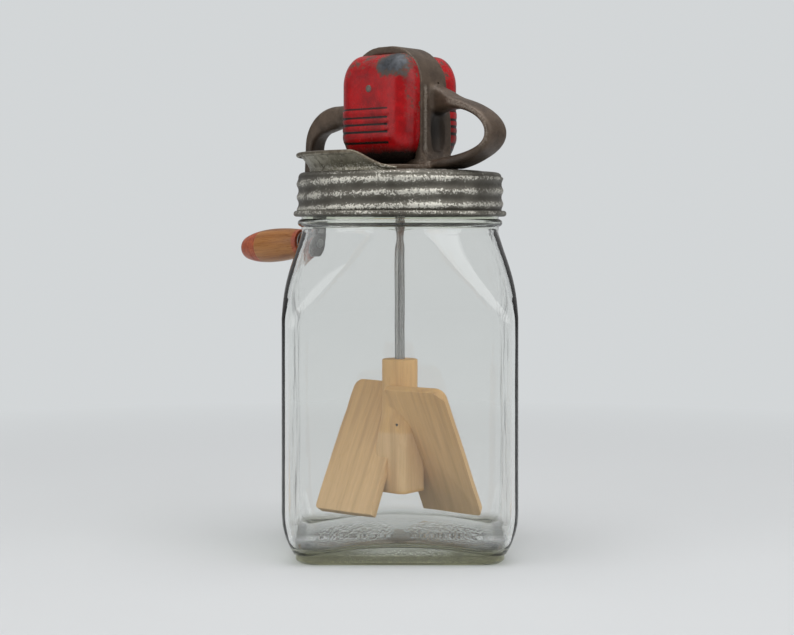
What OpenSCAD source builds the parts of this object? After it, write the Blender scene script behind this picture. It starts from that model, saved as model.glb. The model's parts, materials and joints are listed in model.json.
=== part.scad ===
// Glass jar butter churn: square jar, screw lid with a geared head, crank and wooden dasher.
// Millimetres. The origin is the centre of the jar's base on the floor, +Z is up.
// The jar's faces are square to X and Y, and the head is turned about Z by head_turn.

/* [Jar] */
// Width across the flats
jar_w = 146; // [140:1:156]
// Radius of the upright corners
jar_corner_r = 12; // [8:1:18]
// Glass thickness of the sides
jar_wall = 4; // [3:0.5:5]
// Glass thickness of the bottom
jar_base_t = 8.5; // [6:0.5:12]
// Height of the foot slab
foot_slab_h = 6; // [4:0.5:8]
// How far the foot slab stands in from the sides
foot_slab_inset = 8; // [6:0.2:10]
// Height where the heel reaches the full width
heel_z = 32; // [28:1:40]
// Height where the sides start to lean in
shoulder_z = 151; // [145:1:160]
// Height of the bottom of the neck
neck_z = 207; // [200:1:210]
// Height of the rim
rim_z = 241; // [238:1:248]
// Outer radius of the neck
neck_r = 64.2; // [63.5:0.1:65]
// Glass thickness of the neck
neck_wall = 2.8; // [2:0.1:3]
// How far the neck's screw thread stands out
thread_h = 1; // [0.5:0.1:1.5]

/* [Lid] */
// Sheet thickness of the lid
lid_t = 0.6; // [0.5:0.1:1]
// Height of the lid's skirt
skirt_h = 26.6; // [24:0.2:27]
// Depth of the rolled thread ridges
ridge_h = 1.2; // [0.6:0.1:2]
// Distance from ridge to ridge
ridge_pitch = 8.5; // [7:0.1:9]
// Radius of the rolled rim bead
rim_bead_r = 1.9; // [1.5:0.1:2.2]
// Radius of the raised panel
panel_r = 54; // [52:0.5:56]
// Height of the raised panel
panel_h = 1; // [0.6:0.1:2]
// Gasket thickness
gasket_t = 2; // [1:0.1:3]

/* [Spout] */
// Radius of the upright collar
spout_r = 58.5; // [57:0.5:60]
// Height of the collar below the flare
spout_collar_h = 4; // [3:0.5:6]
// Height of the lip above the lid
spout_h = 12.7; // [9:0.1:15]
// How far the lip flares out
spout_flare = 7.5; // [4:0.5:9]
// Sheet thickness of the spout
spout_t = 0.8; // [0.6:0.1:1.2]
// Turn of the spout's middle from the front towards the left, in degrees
spout_turn = 78; // [70:1:86]

/* [Frame] */
// Turn of the head about the upright, in degrees
head_turn = 40; // [30:1:50]
// Width of the cast band
frame_w = 61; // [58:0.5:65]
// Thickness of the cast band, front to back
frame_t = 31; // [27:0.5:34]
// Height of the cast band above the lid
frame_h = 80.3; // [78:0.5:88]
// Wall of the cast band
frame_wall = 5.5; // [4.5:0.1:6]
// Corner radius at the top of the band
frame_corner_r = 26; // [20:0.5:28]
// Height of the shaft above the lid
shaft_rise = 37.4; // [36:0.2:39]
// How far the round foot stands out beyond the band
foot_margin = 7.5; // [7.5:0.5:10]
// Thickness of the round foot
foot_t = 3.5; // [2.5:0.1:4]
// Reach of the loop handle from the upright
handle_reach = 80.5; // [76:0.5:88]
// Width of the handle's strap
handle_w = 20; // [14:0.5:24]
// Thickness of the handle's strap
handle_t = 5.8; // [4.5:0.1:7]

/* [Covers] */
// Depth of each cover beyond the band
cover_d = 16; // [15.5:0.5:20]
// Sheet thickness of the covers
cover_t = 1; // [0.8:0.1:1.3]
// Rounding of the covers towards their face
cover_r = 14; // [8:0.5:15]
// Corner radius of the covers' outline
cover_corner_r = 20; // [15:0.5:24]
// How far the covers stay in from the sides of the band
cover_in = 1; // [0.5:0.1:2]
// How far the covers stay below the top of the band
cover_drop = 5.4; // [5:0.1:6]
// Number of pressed ribs
rib_count = 5; // [3:1:6]
// Length of a rib
rib_len = 32; // [20:1:36]

/* [Gears] */
// Teeth of the drive gear
gear_teeth = 40; // [36:4:44]
// Teeth of the pinion
pinion_teeth = 10; // [9:1:10]
// Distance from tooth to tooth along the pitch line
tooth_pitch = 4.084; // [3.9:0.01:4.1]
// Width of the teeth
tooth_face = 5.2; // [4:0.1:5.5]
// Radius of the crank shaft
shaft_r = 4; // [3:0.1:4.5]

/* [Crank] */
// Distance from the shaft to the grip
crank_throw = 83.8; // [80:0.2:88]
// Reach of the arm from the upright
arm_reach = 78.6; // [77:0.2:84]
// How much further out the arm ends
arm_splay = 3.4; // [2:0.1:5]
// Width of the arm
arm_w = 14.5; // [11:0.5:16]
// Thickness of the arm
arm_t = 6.2; // [4.5:0.1:6.6]
// Radius of the arm's round boss
arm_boss_r = 8.2; // [7:0.1:9]
// Length of the wooden grip
grip_len = 57; // [48:0.5:70]
// Thickest diameter of the grip
grip_d = 22.6; // [19:0.2:26]
// Droop of the grip, in degrees
grip_droop = 4.5; // [0:0.5:8]

/* [Dasher] */
// Diameter of the rod
rod_d = 6.35; // [5:0.05:8]
// Diameter of the hub's neck
hub_neck_d = 23; // [20:0.5:26]
// Width of the hub's square block
hub_w = 25; // [23:0.5:27]
// Top of the hub
hub_top_z = 122.5; // [119:0.5:126]
// Bottom of the hub
hub_bottom_z = 36.7; // [32:0.5:42]
// Height where the square hub starts to narrow
hub_cone_low = 66; // [60:0.5:72]
// Height where the hub is narrowed to its neck
hub_cone_high = 88; // [82:0.5:96]
// Top of the paddles
paddle_top_z = 103.5; // [100:0.5:105]
// Bottom of the paddles
paddle_bottom_z = 22.2; // [20:0.2:28]
// Reach of a paddle from the upright
paddle_reach = 47.3; // [42:0.1:52]
// Thickness of a paddle
paddle_t = 6.2; // [5:0.1:6.5]
// Pitch of a paddle, in degrees
paddle_pitch = 27.5; // [24:0.5:32]
// Turn of the paddles about the upright, in degrees
dasher_turn = 38; // [0:1:90]

/* [Hidden] */
$fn = 64;

// Fits
run_gap = 0.05;
side_gap = 0.4;
thread_gap = 0.4;
eps = 0.01;

// Jar
jar_half = jar_w / 2;
lean_steps = 8;
heel_steps = 5;
neck_bore_r = neck_r - neck_wall;

// Heights above the jar
lid_z = rim_z + gasket_t + lid_t;
panel_z = lid_z + panel_h;
shaft_z = panel_z + shaft_rise;
frame_top_z = panel_z + frame_h;
skirt_z = lid_z - skirt_h;
lid_r = neck_r + thread_h + thread_gap + lid_t;
lid_corner_r = 3;
neck_bead_r = 1.3;
neck_bead_z = skirt_z - rim_bead_r - side_gap - neck_bead_r;

// Pouring hole under the spout
pour_in_r = 43;
pour_out_r = panel_r - 1.5;
pour_half = 28;
screen_land = 0.7;
screen_t = 0.6;
screen_hole_r = 1.2;

// Gears: the drive gear is a crown gear, the pinion stands below the shaft
gear_r = gear_teeth * tooth_pitch / (2 * PI);
pinion_r = pinion_teeth * tooth_pitch / (2 * PI);
tooth_add = 1;
tooth_ded = 1.5;
tooth_root_w = 1.9;
tooth_tip_w = 0.7;
face_out_r = gear_r + 2.2;
face_in_r = face_out_r - tooth_face;
plate_t = 4.5;
gear_hub_r = 9;
boss_r = 9;
bush_r = 6;
wall_x = frame_w / 2;
boss_x = wall_x - frame_wall - 3;
foot_r = wall_x + foot_margin;
pin_r = 1.5;

// Rod
rod_r = rod_d / 2;
rod_bush_r = 6;
washer_t = 0.8;
pinion_z = shaft_z - face_out_r;
pinion_hub_h = 1.2;
seat_z = pinion_z - pinion_hub_h - washer_t;
rod_top_z = shaft_z - shaft_r - 3;
bush_bottom_z = panel_z - lid_t - 7;
collar_h = 6;
rod_end_z = hub_top_z - 17;

// Covers
cover_h = frame_h - cover_drop - foot_t - 0.9;
cover_z = frame_top_z - cover_drop - cover_h;
cover_face_y = frame_t / 2 + cover_d;
rivet_z = shaft_z + 14.7;
rivet_r = 1.75;
rib_r = 1.6;
rib_z = 12.5;
rib_pitch = 5.1;
rib_proud = 0.6;

// Crank
arm_hub_x = wall_x + side_gap;
arm_bend_r = 26;
arm_inner_r = 12;
arm_end_r = 0.56 * arm_w;
arm_neck_r = arm_boss_r - 0.6;
arm_neck_low = arm_neck_r + 2.7;
grip_boss_r = arm_w / 2 - 0.5;
grip_boss_h = 2.5;
grip_pin_r = 3;
grip_bore = grip_len - 12;
grip_start = grip_boss_h + 1 + 0.3;

// Dasher
paddle_mid_z = (paddle_top_z + paddle_bottom_z) / 2;
paddle_len = (paddle_top_z - paddle_bottom_z) / cos(paddle_pitch);
paddle_lead = 3.7;
paddle_gap = 0.3;
paddle_corner_r = 6.5;
paddle_heel_r = 2.5;
hub_round_r = 15.5;
nail_r = 0.9;
nail_len = paddle_t + 5;
nail_proud = 0.2;
nail_x = 0.13 * paddle_reach;
nail_low_z = hub_cone_low - 10;
nail_high_z = (hub_cone_low + 2 * hub_cone_high) / 3;
nail_high_r = (hub_round_r + hub_neck_d) / 3;
nail_high_y = sqrt(pow(nail_high_r, 2) - pow(nail_x, 2));

function bezier(p, t) = pow(1 - t, 3) * p[0] + 3 * t * pow(1 - t, 2) * p[1]
    + 3 * t * t * (1 - t) * p[2] + pow(t, 3) * p[3];
function curve(p, n) = [for (i = [0:n]) bezier(p, i / n)];
function smooth(t) = t * t * (3 - 2 * t);
function arc(cx, cy, r, a0, a1, n) = [for (i = [0:n]) let (a = a0 + (a1 - a0) * i / n)
    [cx + r * cos(a), cy + r * sin(a)]];

module head() {
    rotate([0, 0, -head_turn]) children();
}

module along_x(x) {
    translate([x, 0, shaft_z]) rotate([0, 90, 0]) children();
}

module rounded_square(half, r) {
    square([2 * half, 2 * (half - r)], center = true);
    square([2 * (half - r), 2 * half], center = true);
    for (x = [-1, 1], y = [-1, 1]) translate([x * (half - r), y * (half - r)]) circle(r);
}

// Rounded rectangle standing on y = 0
module rounded_plate(w, h, r) {
    translate([-w / 2, r]) square([w, h - 2 * r]);
    translate([-w / 2 + r, 0]) square([w - 2 * r, h]);
    for (x = [-w / 2 + r, w / 2 - r], y = [r, h - r]) translate([x, y]) circle(r);
}

// Half-width of a face of the jar, above the shoulder's start
function lean(z) = jar_half - (jar_half - neck_r)
    * smooth(pow((z - shoulder_z) / (neck_z - shoulder_z), 1.5));

// Half-width of the heel, a parabola that ends on the foot slab
heel_in = foot_slab_inset - 1.2;
function heel(z) = jar_half - heel_in * pow((heel_z - z) / (heel_z - foot_slab_h), 2);

function heel_points(inset, z0) = [for (i = [0:heel_steps])
    let (z = foot_slab_h + (heel_z - foot_slab_h) * pow(i / heel_steps, 1.5))
    [heel(z) - inset, max(z, z0)]];
function lean_points(inset) = [for (i = [0:lean_steps])
    let (z = shoulder_z + (neck_z - shoulder_z) * i / lean_steps) [lean(z) - inset, z]];
foot_half = jar_half - foot_slab_inset;
foot_points = [[foot_half - 2.2, 0], [foot_half - 0.6, 0.9], [foot_half, 2.8], [foot_half, foot_slab_h]];

module side_slab(points) {
    outline = concat(points, [for (i = [len(points) - 1:-1:0]) [-points[i][0], points[i][1]]]);
    rotate([90, 0, 0]) linear_extrude(2 * jar_w, center = true) polygon(outline);
}

// Cone of the four sloping corners
corner_reach = jar_half * sqrt(2);
module corner_cone(inset) {
    rotate_extrude() polygon([[0, -1], [corner_reach, -1], [corner_reach, shoulder_z - 6],
        [neck_r - inset, neck_z], [0, neck_z]]);
}

module jar_block(points, corner, inset) {
    intersection() {
        linear_extrude(neck_z) rounded_square(jar_half - inset, corner);
        side_slab(points);
        rotate([0, 0, 90]) side_slab(points);
        corner_cone(inset);
    }
}

module thread_ring(z, r, h) {
    translate([0, 0, z]) rotate_extrude()
        polygon([[neck_r - 1, -h], [r, -h / 3], [r, h / 3], [neck_r - 1, h]]);
}

module jar() {
    floor_points = [[foot_half - 9, jar_base_t], [foot_half - 4.5, jar_base_t + 1.5],
        [foot_half - 2.5, jar_base_t + 5]];
    inner_heel = [for (p = heel_points(jar_wall, 0)) if (p[1] > jar_base_t + 6) p];
    color("honeydew", 0.4) difference() {
        union() {
            jar_block(concat(foot_points, heel_points(0, foot_slab_h), lean_points(0)), jar_corner_r, 0);
            translate([0, 0, neck_z - 4]) cylinder(h = rim_z - neck_z + 4, r = neck_r, $fn = 128);
            translate([0, 0, neck_bead_z]) rotate_extrude($fn = 128)
                translate([neck_r + 1, 0]) circle(neck_bead_r, $fn = 24);
            for (i = [0:1]) thread_ring(skirt_z + 5 + i * ridge_pitch, neck_r + thread_h, 2);
        }
        jar_block(concat(floor_points, inner_heel, lean_points(jar_wall)),
            jar_corner_r - jar_wall, jar_wall);
        translate([0, 0, neck_z - 17]) cylinder(h = rim_z - neck_z + 18, r = neck_bore_r, $fn = 128);
    }
}

module lid_gasket() {
    color("dimgray") translate([0, 0, rim_z]) difference() {
        cylinder(h = gasket_t, r = lid_r - lid_corner_r, $fn = 128);
        translate([0, 0, -1]) cylinder(h = gasket_t + 2, r = neck_bore_r - 1, $fn = 128);
    }
}

// Lid profile, drawn once for the outside and once for the inside
ridge_start = lid_z - lid_corner_r;
skirt_steps = 24;
function skirt_points(inset, z0) = [for (i = [0:skirt_steps])
    let (z = ridge_start - (ridge_start - z0) * i / skirt_steps)
    [lid_r - inset + ridge_h / 2 * (1 - cos(360 * (z - skirt_z) / ridge_pitch)), z]];

module lid_form(inset, z0) {
    rotate_extrude($fn = 128) polygon(concat(
        [[0, z0], [0, panel_z - inset], [panel_r - inset, panel_z - inset],
            [panel_r + panel_h - inset, lid_z - inset], [lid_r - lid_corner_r, lid_z - inset]],
        skirt_points(inset, z0)));
}

module sector(in_r, out_r, half, h) {
    rotate([0, 0, -90 - spout_turn - half]) rotate_extrude(angle = 2 * half, $fn = 128)
        translate([in_r, 0]) square([out_r - in_r, h]);
}

module lid() {
    color("gray") difference() {
        union() {
            difference() {
                lid_form(0, skirt_z);
                lid_form(lid_t, skirt_z - 1);
            }
            translate([0, 0, skirt_z]) rotate_extrude($fn = 128)
                translate([lid_r + rim_bead_r - lid_t, 0]) circle(rim_bead_r, $fn = 24);
        }
        translate([0, 0, skirt_z]) {
            cylinder(h = 2 * skirt_h, r = rod_bush_r);
            sector(pour_in_r, pour_out_r, pour_half, 2 * skirt_h);
            rivet_places() cylinder(h = 2 * skirt_h, r = pin_r);
        }
    }
}

module strainer_screen() {
    rows = 3;
    columns = 13;
    row_step = (pour_out_r - pour_in_r) / (rows + 0.3);
    color("darkgray") translate([0, 0, panel_z - lid_t - screen_t]) difference() {
        sector(pour_in_r - 2, pour_out_r + screen_land, pour_half + 3, screen_t);
        for (i = [0:rows - 1], j = [0:columns - 1])
            rotate([0, 0, -90 - spout_turn + (j - (columns - 1) / 2) * 2 * pour_half / columns])
                translate([pour_in_r + (i + 0.65) * row_step, 0, -screen_t])
                    cylinder(h = 3 * screen_t, r = screen_hole_r, $fn = 16);
    }
}

// Spout: a flared sheet whose ends sweep down to the lid in a soft S
spout_end = 76;
spout_flat = 45;
sweep_steps = 8;
function spout_profile(off) = concat([[spout_r + off, 0], [spout_r + off, spout_collar_h]],
    [for (i = [1:5]) let (t = i / 5)
        [spout_r + off + spout_flare * (1 - cos(90 * t)) * 0.85 + spout_flare * 0.15 * t,
            spout_collar_h + (spout_h - spout_collar_h) * t]]);

module spout() {
    profile = spout_profile(0);
    inner = spout_profile(-spout_t);
    end_u = (spout_r + spout_flare / 2) * sin(spout_end);
    flat_u = (spout_r + spout_flare / 2) * sin(spout_flat);
    sweep = concat([for (i = [0:sweep_steps]) let (t = i / sweep_steps)
        [flat_u + (end_u - flat_u) * t, 1 + spout_h * (1 - smooth(t))]], [[end_u, -1]]);
    color("silver") translate([0, 0, lid_z]) difference() {
        intersection() {
            rotate([0, 0, -90 - spout_turn - spout_end]) rotate_extrude(angle = 2 * spout_end, $fn = 128)
                polygon(concat(profile, [for (i = [len(inner) - 1:-1:0]) inner[i]]));
            rotate([0, 0, -spout_turn]) rotate([90, 0, 0]) linear_extrude(2 * jar_w, center = true)
                polygon(concat(sweep, [for (i = [len(sweep) - 1:-1:0]) [-sweep[i][0], sweep[i][1]]]));
        }
        cylinder(h = 2 * panel_h, r = panel_r + panel_h);
    }
}

rivet_gap = 3.1;
rivet_x = wall_x + rivet_gap;
rivet_y = 12;
module rivet_places() {
    head() for (x = [-1, 1], y = [-1, 1]) translate([x * rivet_x, y * rivet_y, 0]) children();
}

// Loop handle: two curves in the plane of the band
handle_foot = panel_z + 0.6;
handle_foot_t = handle_t - 0.8;
handle_outer = [[wall_x - 1.5, shaft_z + 11.5], [0.964 * handle_reach, shaft_z + 9],
    [1.337 * handle_reach, shaft_z - 24], [0.578 * handle_reach, handle_foot]];
handle_inner = [[wall_x - 0.5, shaft_z + 14.5 - 2.2 * handle_t],
    [0.94 * handle_reach, shaft_z + 19 - 2.2 * handle_t],
    [1.375 * handle_reach - 2.1 * handle_t, shaft_z - 26],
    [0.482 * handle_reach, handle_foot + handle_foot_t]];
// The handle's root widens upwards into the band
handle_flare = [[wall_x - 1.5, shaft_z + 20], [wall_x + 3, shaft_z + 14]];
handle_root = wall_x + 2.5;
handle_steps = 20;

module loop_handle() {
    outer = curve(handle_outer, handle_steps);
    inner = curve(handle_inner, handle_steps);
    rotate([90, 0, 0]) linear_extrude(handle_w, center = true)
        polygon(concat(handle_flare, [for (i = [1:handle_steps]) outer[i]], [[handle_root, handle_foot], 
            [handle_root, handle_foot + handle_foot_t]], [for (i = [handle_steps:-1:0]) inner[i]]));
}

// The band's outline is round at the top and runs straight down into the foot
module band_outline(w, h, r) {
    intersection() {
        translate([0, -2 * r]) rounded_plate(w, h + 2 * r, r);
        translate([-w, 0]) square([2 * w, h]);
    }
}

module frame() {
    pocket_z = panel_z + 9;
    pocket_d = 0.4 * frame_wall;
    color("#4a433d") head() difference() {
        union() {
            translate([0, 0, panel_z]) rotate([90, 0, 0]) linear_extrude(frame_t, center = true)
                difference() {
                    band_outline(frame_w, frame_h, frame_corner_r);
                    translate([0, seat_z - panel_z]) band_outline(frame_w - 2 * frame_wall,
                        frame_top_z - frame_wall - seat_z, frame_corner_r - frame_wall);
                }
            translate([0, 0, panel_z]) cylinder(h = foot_t, r = foot_r);
            loop_handle();
            for (s = [-1, 1]) along_x(s > 0 ? boss_x : -wall_x) cylinder(h = wall_x - boss_x, r = boss_r);
        }
        along_x(-wall_x - 1) cylinder(h = frame_wall + 8, r = bush_r);
        along_x(boss_x - 1) cylinder(h = wall_x - boss_x - 3, r = bush_r);
        translate([0, 0, panel_z - 1]) cylinder(h = seat_z - panel_z + 2, r = rod_bush_r);
        translate([wall_x - pocket_d, -frame_t / 4, pocket_z])
            cube([frame_wall, frame_t / 2, shaft_z - pocket_z + 2]);
        rotate([0, 0, head_turn]) rivet_places() translate([0, 0, panel_z - 1])
            cylinder(h = foot_t + 2, r = pin_r);
    }
}

rivet_head_r = 2.3;
rivet_head_h = 1.2;
module frame_rivets() {
    color("#5a534c") rivet_places() {
        translate([0, 0, panel_z - lid_t]) cylinder(h = foot_t + lid_t, r = pin_r);
        translate([0, 0, panel_z + foot_t])
            cylinder(h = rivet_head_h, r1 = rivet_head_r, r2 = rivet_head_r / 2);
        translate([0, 0, panel_z - lid_t - 1]) cylinder(h = 1, r = rivet_head_r);
    }
}

// Pillow of one cover: a plate outline rounded towards its face
module cover_block(inset) {
    w = frame_w - 2 * cover_in - 2 * inset;
    h = cover_h - 2 * inset;
    d = cover_d - inset;
    r = cover_r - inset;
    intersection() {
        rotate([90, 0, 0]) linear_extrude(d) rounded_plate(w, h, cover_corner_r - inset);
        translate([-w, 0, 0]) rotate([90, 0, 90]) linear_extrude(2 * w) intersection() {
            rounded_plate(2 * d, h, r);
            translate([-d, 0]) square([d, h]);
        }
        linear_extrude(h) intersection() {
            translate([0, -d]) rounded_plate(w, 2 * d, r);
            translate([-w, -d]) square([2 * w, d]);
        }
    }
}

module cover() {
    translate([0, -frame_t / 2, cover_z]) difference() {
        union() {
            cover_block(0);
            for (i = [0:rib_count - 1])
                translate([-rib_len / 2, rib_r - rib_proud - cover_d, rib_z + i * rib_pitch])
                    rotate([0, 90, 0]) cylinder(h = rib_len, r = rib_r, $fn = 24);
        }
        translate([0, eps, cover_t]) cover_block(cover_t);
        translate([0, 0, rivet_z - cover_z]) rotate([90, 0, 0]) cylinder(h = 2 * cover_d, r = rivet_r);
    }
}

module front_cover() {
    color("firebrick") head() cover();
}

module back_cover() {
    color("firebrick") head() rotate([0, 0, 180]) cover();
}

module cover_rivet() {
    color("#6e675f") head() translate([0, 0, rivet_z]) rotate([90, 0, 0]) {
        cylinder(h = 2 * cover_face_y, r = rivet_r, center = true);
        for (s = [0, 180]) rotate([s, 0, 0]) translate([0, 0, cover_face_y])
            cylinder(h = 0.4 * rivet_r, r1 = 1.4 * rivet_r, r2 = 0.9 * rivet_r);
    }
}

module crank_bush_left() {
    color("darkgoldenrod") head() along_x(-wall_x) difference() {
        cylinder(h = wall_x - boss_x, r = bush_r);
        translate([0, 0, -1]) cylinder(h = 20, r = shaft_r + run_gap);
    }
}

module crank_bush_right() {
    color("darkgoldenrod") head() along_x(boss_x) difference() {
        cylinder(h = wall_x - boss_x - 4, r = bush_r);
        translate([0, 0, -1]) cylinder(h = 20, r = shaft_r + run_gap);
    }
}

arm_boss_len = 22;
arm_socket = 17;
arm_pin_x = -arm_hub_x - 9;
gear_back_x = -pinion_r - tooth_ded - plate_t;
gear_pin_x = (gear_back_x - boss_x) / 2;
collar_w = 6.5;
collar_x = boss_x - side_gap - collar_w;
collar_pin_x = collar_x + collar_w / 2;
collar_r = 2 * shaft_r;

module shaft_pins(h) {
    for (x = [arm_pin_x, gear_pin_x, collar_pin_x]) translate([x, 0, shaft_z]) rotate([90, 0, 0])
        cylinder(h = h, r = pin_r, center = true, $fn = 24);
}

module crank_shaft() {
    tail = wall_x - 4 - side_gap;
    color("lightslategray") head() difference() {
        along_x(-arm_hub_x - arm_socket) cylinder(h = arm_hub_x + arm_socket + tail, r = shaft_r);
        shaft_pins(4 * shaft_r);
    }
}

// Crown gear: teeth point along the shaft towards the pinion
module drive_gear() {
    tooth = [[-tooth_root_w / 2, -tooth_ded - 0.5], [tooth_root_w / 2, -tooth_ded - 0.5],
        [tooth_tip_w / 2, tooth_add], [-tooth_tip_w / 2, tooth_add]];
    color("#55504a") head() difference() {
        union() {
            along_x(gear_back_x) cylinder(h = plate_t, r = face_out_r);
            along_x(-boss_x + side_gap) cylinder(h = boss_x - side_gap + gear_back_x + 1, r = gear_hub_r);
            for (i = [0:gear_teeth - 1]) along_x(-pinion_r) rotate([0, 0, (i + 0.5) * 360 / gear_teeth])
                translate([face_in_r, 0, 0]) rotate([90, 0, 90]) linear_extrude(tooth_face) polygon(tooth);
        }
        along_x(-wall_x) cylinder(h = 2 * wall_x, r = shaft_r);
        shaft_pins(6 * gear_hub_r);
    }
}

module gear_pin() {
    color("silver") head() translate([gear_pin_x, 0, shaft_z]) rotate([90, 0, 0])
        cylinder(h = 2 * gear_hub_r, r = pin_r, center = true, $fn = 24);
}

module shaft_collar() {
    color("slategray") head() difference() {
        along_x(collar_x) cylinder(h = collar_w, r = collar_r);
        along_x(0) cylinder(h = 2 * wall_x, r = shaft_r);
        shaft_pins(4 * collar_r);
    }
}

module collar_pin() {
    color("silver") head() translate([collar_pin_x, 0, shaft_z]) rotate([90, 0, 0])
        cylinder(h = 2 * collar_r, r = pin_r, center = true, $fn = 24);
}

module at_grip() {
    translate([-arm_reach - arm_splay, 0, shaft_z - crank_throw])
        rotate([0, -90 - grip_droop, 0]) children();
}

// Side view of the arm: a round boss that bends down into a flat strap
module arm_profile() {
    drop = crank_throw;
    polygon(concat([[-arm_hub_x - 4, arm_neck_r]],
        arc(arm_bend_r - arm_reach, arm_neck_r - arm_bend_r, arm_bend_r, 90, 180, 8),
        [[-arm_reach - arm_splay, -drop - arm_end_r], [-arm_reach - arm_splay + arm_t, -drop - arm_end_r]],
        arc(arm_t + arm_inner_r - arm_reach, -arm_neck_low - arm_inner_r, arm_inner_r, 180, 90, 6),
        [[-arm_hub_x - 4, -arm_neck_low]]));
}

module crank_arm() {
    color("#4a433d") head() difference() {
        union() {
            intersection() {
                translate([0, 0, shaft_z]) rotate([90, 0, 0]) linear_extrude(arm_w, center = true)
                    arm_profile();
                translate([0, 0, shaft_z - crank_throw]) {
                    translate([-2 * jar_w, -arm_w, 0]) cube([2 * jar_w, 2 * arm_w, jar_w]);
                    rotate([0, -90, 0]) cylinder(h = 2 * jar_w, r = arm_end_r);
                }
            }
            along_x(-arm_hub_x - arm_boss_len) cylinder(h = arm_boss_len, r = arm_boss_r);
            at_grip() translate([0, 0, -2]) cylinder(h = grip_boss_h + 2, r = grip_boss_r);
        }
        along_x(-arm_hub_x - arm_socket) cylinder(h = 2 * arm_socket, r = shaft_r);
        shaft_pins(4 * arm_boss_r);
        at_grip() translate([0, 0, -4 * arm_t]) cylinder(h = 8 * arm_t, r = grip_pin_r);
    }
}

module arm_pin() {
    color("silver") head() translate([arm_pin_x, 0, shaft_z]) rotate([90, 0, 0])
        cylinder(h = 2 * arm_boss_r, r = pin_r, center = true, $fn = 24);
}

module grip_pin() {
    tail = arm_t + 1.5;
    color("lightslategray") head() at_grip() translate([0, 0, -tail])
        cylinder(h = tail + grip_start + grip_bore - side_gap, r = grip_pin_r);
}

module grip_washer() {
    color("silver") head() at_grip() translate([0, 0, grip_boss_h]) difference() {
        cylinder(h = 1, r = grip_boss_r + 0.8);
        translate([0, 0, -1]) cylinder(h = 3, r = grip_pin_r);
    }
}

// Turned grip, fullest near its middle
module crank_grip() {
    full_r = grip_d / 2;
    tip_r = 0.7 * full_r;
    tip_h = 0.4 * full_r;
    body = curve([[0.78 * full_r, 0], [1.02 * full_r, 0.25 * grip_len],
        [1.2 * full_r, 0.66 * grip_len], [tip_r, grip_len - tip_h]], 12);
    nose = curve([[tip_r, grip_len - tip_h], [0.58 * full_r, grip_len - tip_h / 3],
        [0.35 * full_r, grip_len], [0, grip_len]], 5);
    color("peru") head() at_grip() translate([0, 0, grip_start]) difference() {
        rotate_extrude() polygon(concat([[0, 0]], body, [for (i = [1:5]) nose[i]]));
        translate([0, 0, -1]) cylinder(h = grip_bore + 1, r = grip_pin_r + run_gap);
    }
}

module rod_bush() {
    color("darkgoldenrod") translate([0, 0, bush_bottom_z]) difference() {
        cylinder(h = seat_z - bush_bottom_z, r = rod_bush_r);
        translate([0, 0, -1]) cylinder(h = 40, r = rod_r + run_gap);
    }
}

module thrust_washer() {
    color("silver") translate([0, 0, seat_z]) difference() {
        cylinder(h = washer_t - 0.1, r = pinion_r - 0.5);
        translate([0, 0, -1]) cylinder(h = 3, r = rod_r + run_gap);
    }
}

rod_pin_z = pinion_z + tooth_face / 2;
collar_top_z = bush_bottom_z - side_gap;
rod_collar_r = 6.5;
hub_pin_z = hub_top_z - 9;

module rod_pins(h) {
    for (z = [rod_pin_z, collar_top_z - collar_h / 2, hub_pin_z]) translate([0, 0, z]) rotate([90, 0, 0])
        cylinder(h = h, r = 1, center = true, $fn = 24);
}

module dasher_rod() {
    color("slategray") difference() {
        translate([0, 0, rod_end_z]) cylinder(h = rod_top_z - rod_end_z, r = rod_r);
        rod_pins(3 * rod_r);
    }
}

module pinion() {
    root_r = pinion_r - 1.4;
    tip_r = pinion_r + tooth_add;
    tooth = [[root_r - 0.5, -1], [root_r - 0.5, 1], [tip_r, 0.4], [tip_r, -0.4]];
    color("#55504a") difference() {
        rotate([0, 0, -head_turn]) union() {
            translate([0, 0, pinion_z]) linear_extrude(tooth_face) {
                circle(root_r);
                for (i = [0:pinion_teeth - 1]) rotate([0, 0, 180 + i * 360 / pinion_teeth]) polygon(tooth);
            }
            translate([0, 0, pinion_z - pinion_hub_h]) cylinder(h = pinion_hub_h + 1, r = root_r);
        }
        translate([0, 0, pinion_z - tooth_face]) cylinder(h = 3 * tooth_face, r = rod_r);
        rod_pins(4 * pinion_r);
    }
}

module pinion_pin() {
    color("silver") translate([0, 0, rod_pin_z]) rotate([90, 0, 0])
        cylinder(h = 2 * (pinion_r - 2), r = 1, center = true, $fn = 24);
}

module rod_collar() {
    color("slategray") difference() {
        translate([0, 0, collar_top_z - collar_h]) cylinder(h = collar_h, r = rod_collar_r);
        translate([0, 0, collar_top_z - 2 * collar_h]) cylinder(h = 3 * collar_h, r = rod_r);
        rod_pins(4 * rod_collar_r);
    }
}

module rod_collar_pin() {
    color("silver") translate([0, 0, collar_top_z - collar_h / 2]) rotate([90, 0, 0])
        cylinder(h = 2 * rod_collar_r, r = 1, center = true, $fn = 24);
}

// One board, pitched about its own length, with its face through the lead line
module in_board() {
    rotate([0, 0, -dasher_turn]) translate([0, paddle_lead, paddle_mid_z])
        rotate([90 + paddle_pitch, 0, 0]) children();
}

module board() {
    low = -paddle_len / 2;
    in_board() translate([0, 0, -paddle_t]) linear_extrude(paddle_t) {
        translate([paddle_gap, low]) square([paddle_reach - paddle_gap - paddle_corner_r, paddle_len]);
        translate([paddle_gap + 5, low + paddle_heel_r])
            square([paddle_reach - paddle_gap - 5, paddle_len - paddle_corner_r - paddle_heel_r]);
        translate([paddle_reach - paddle_corner_r, -low - paddle_corner_r]) circle(paddle_corner_r);
        translate([paddle_reach - paddle_heel_r, low + paddle_heel_r]) circle(paddle_heel_r);
        translate([paddle_reach - 2 * paddle_corner_r, low])
            square([2 * paddle_corner_r - paddle_heel_r, paddle_corner_r]);
    }
}

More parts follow.
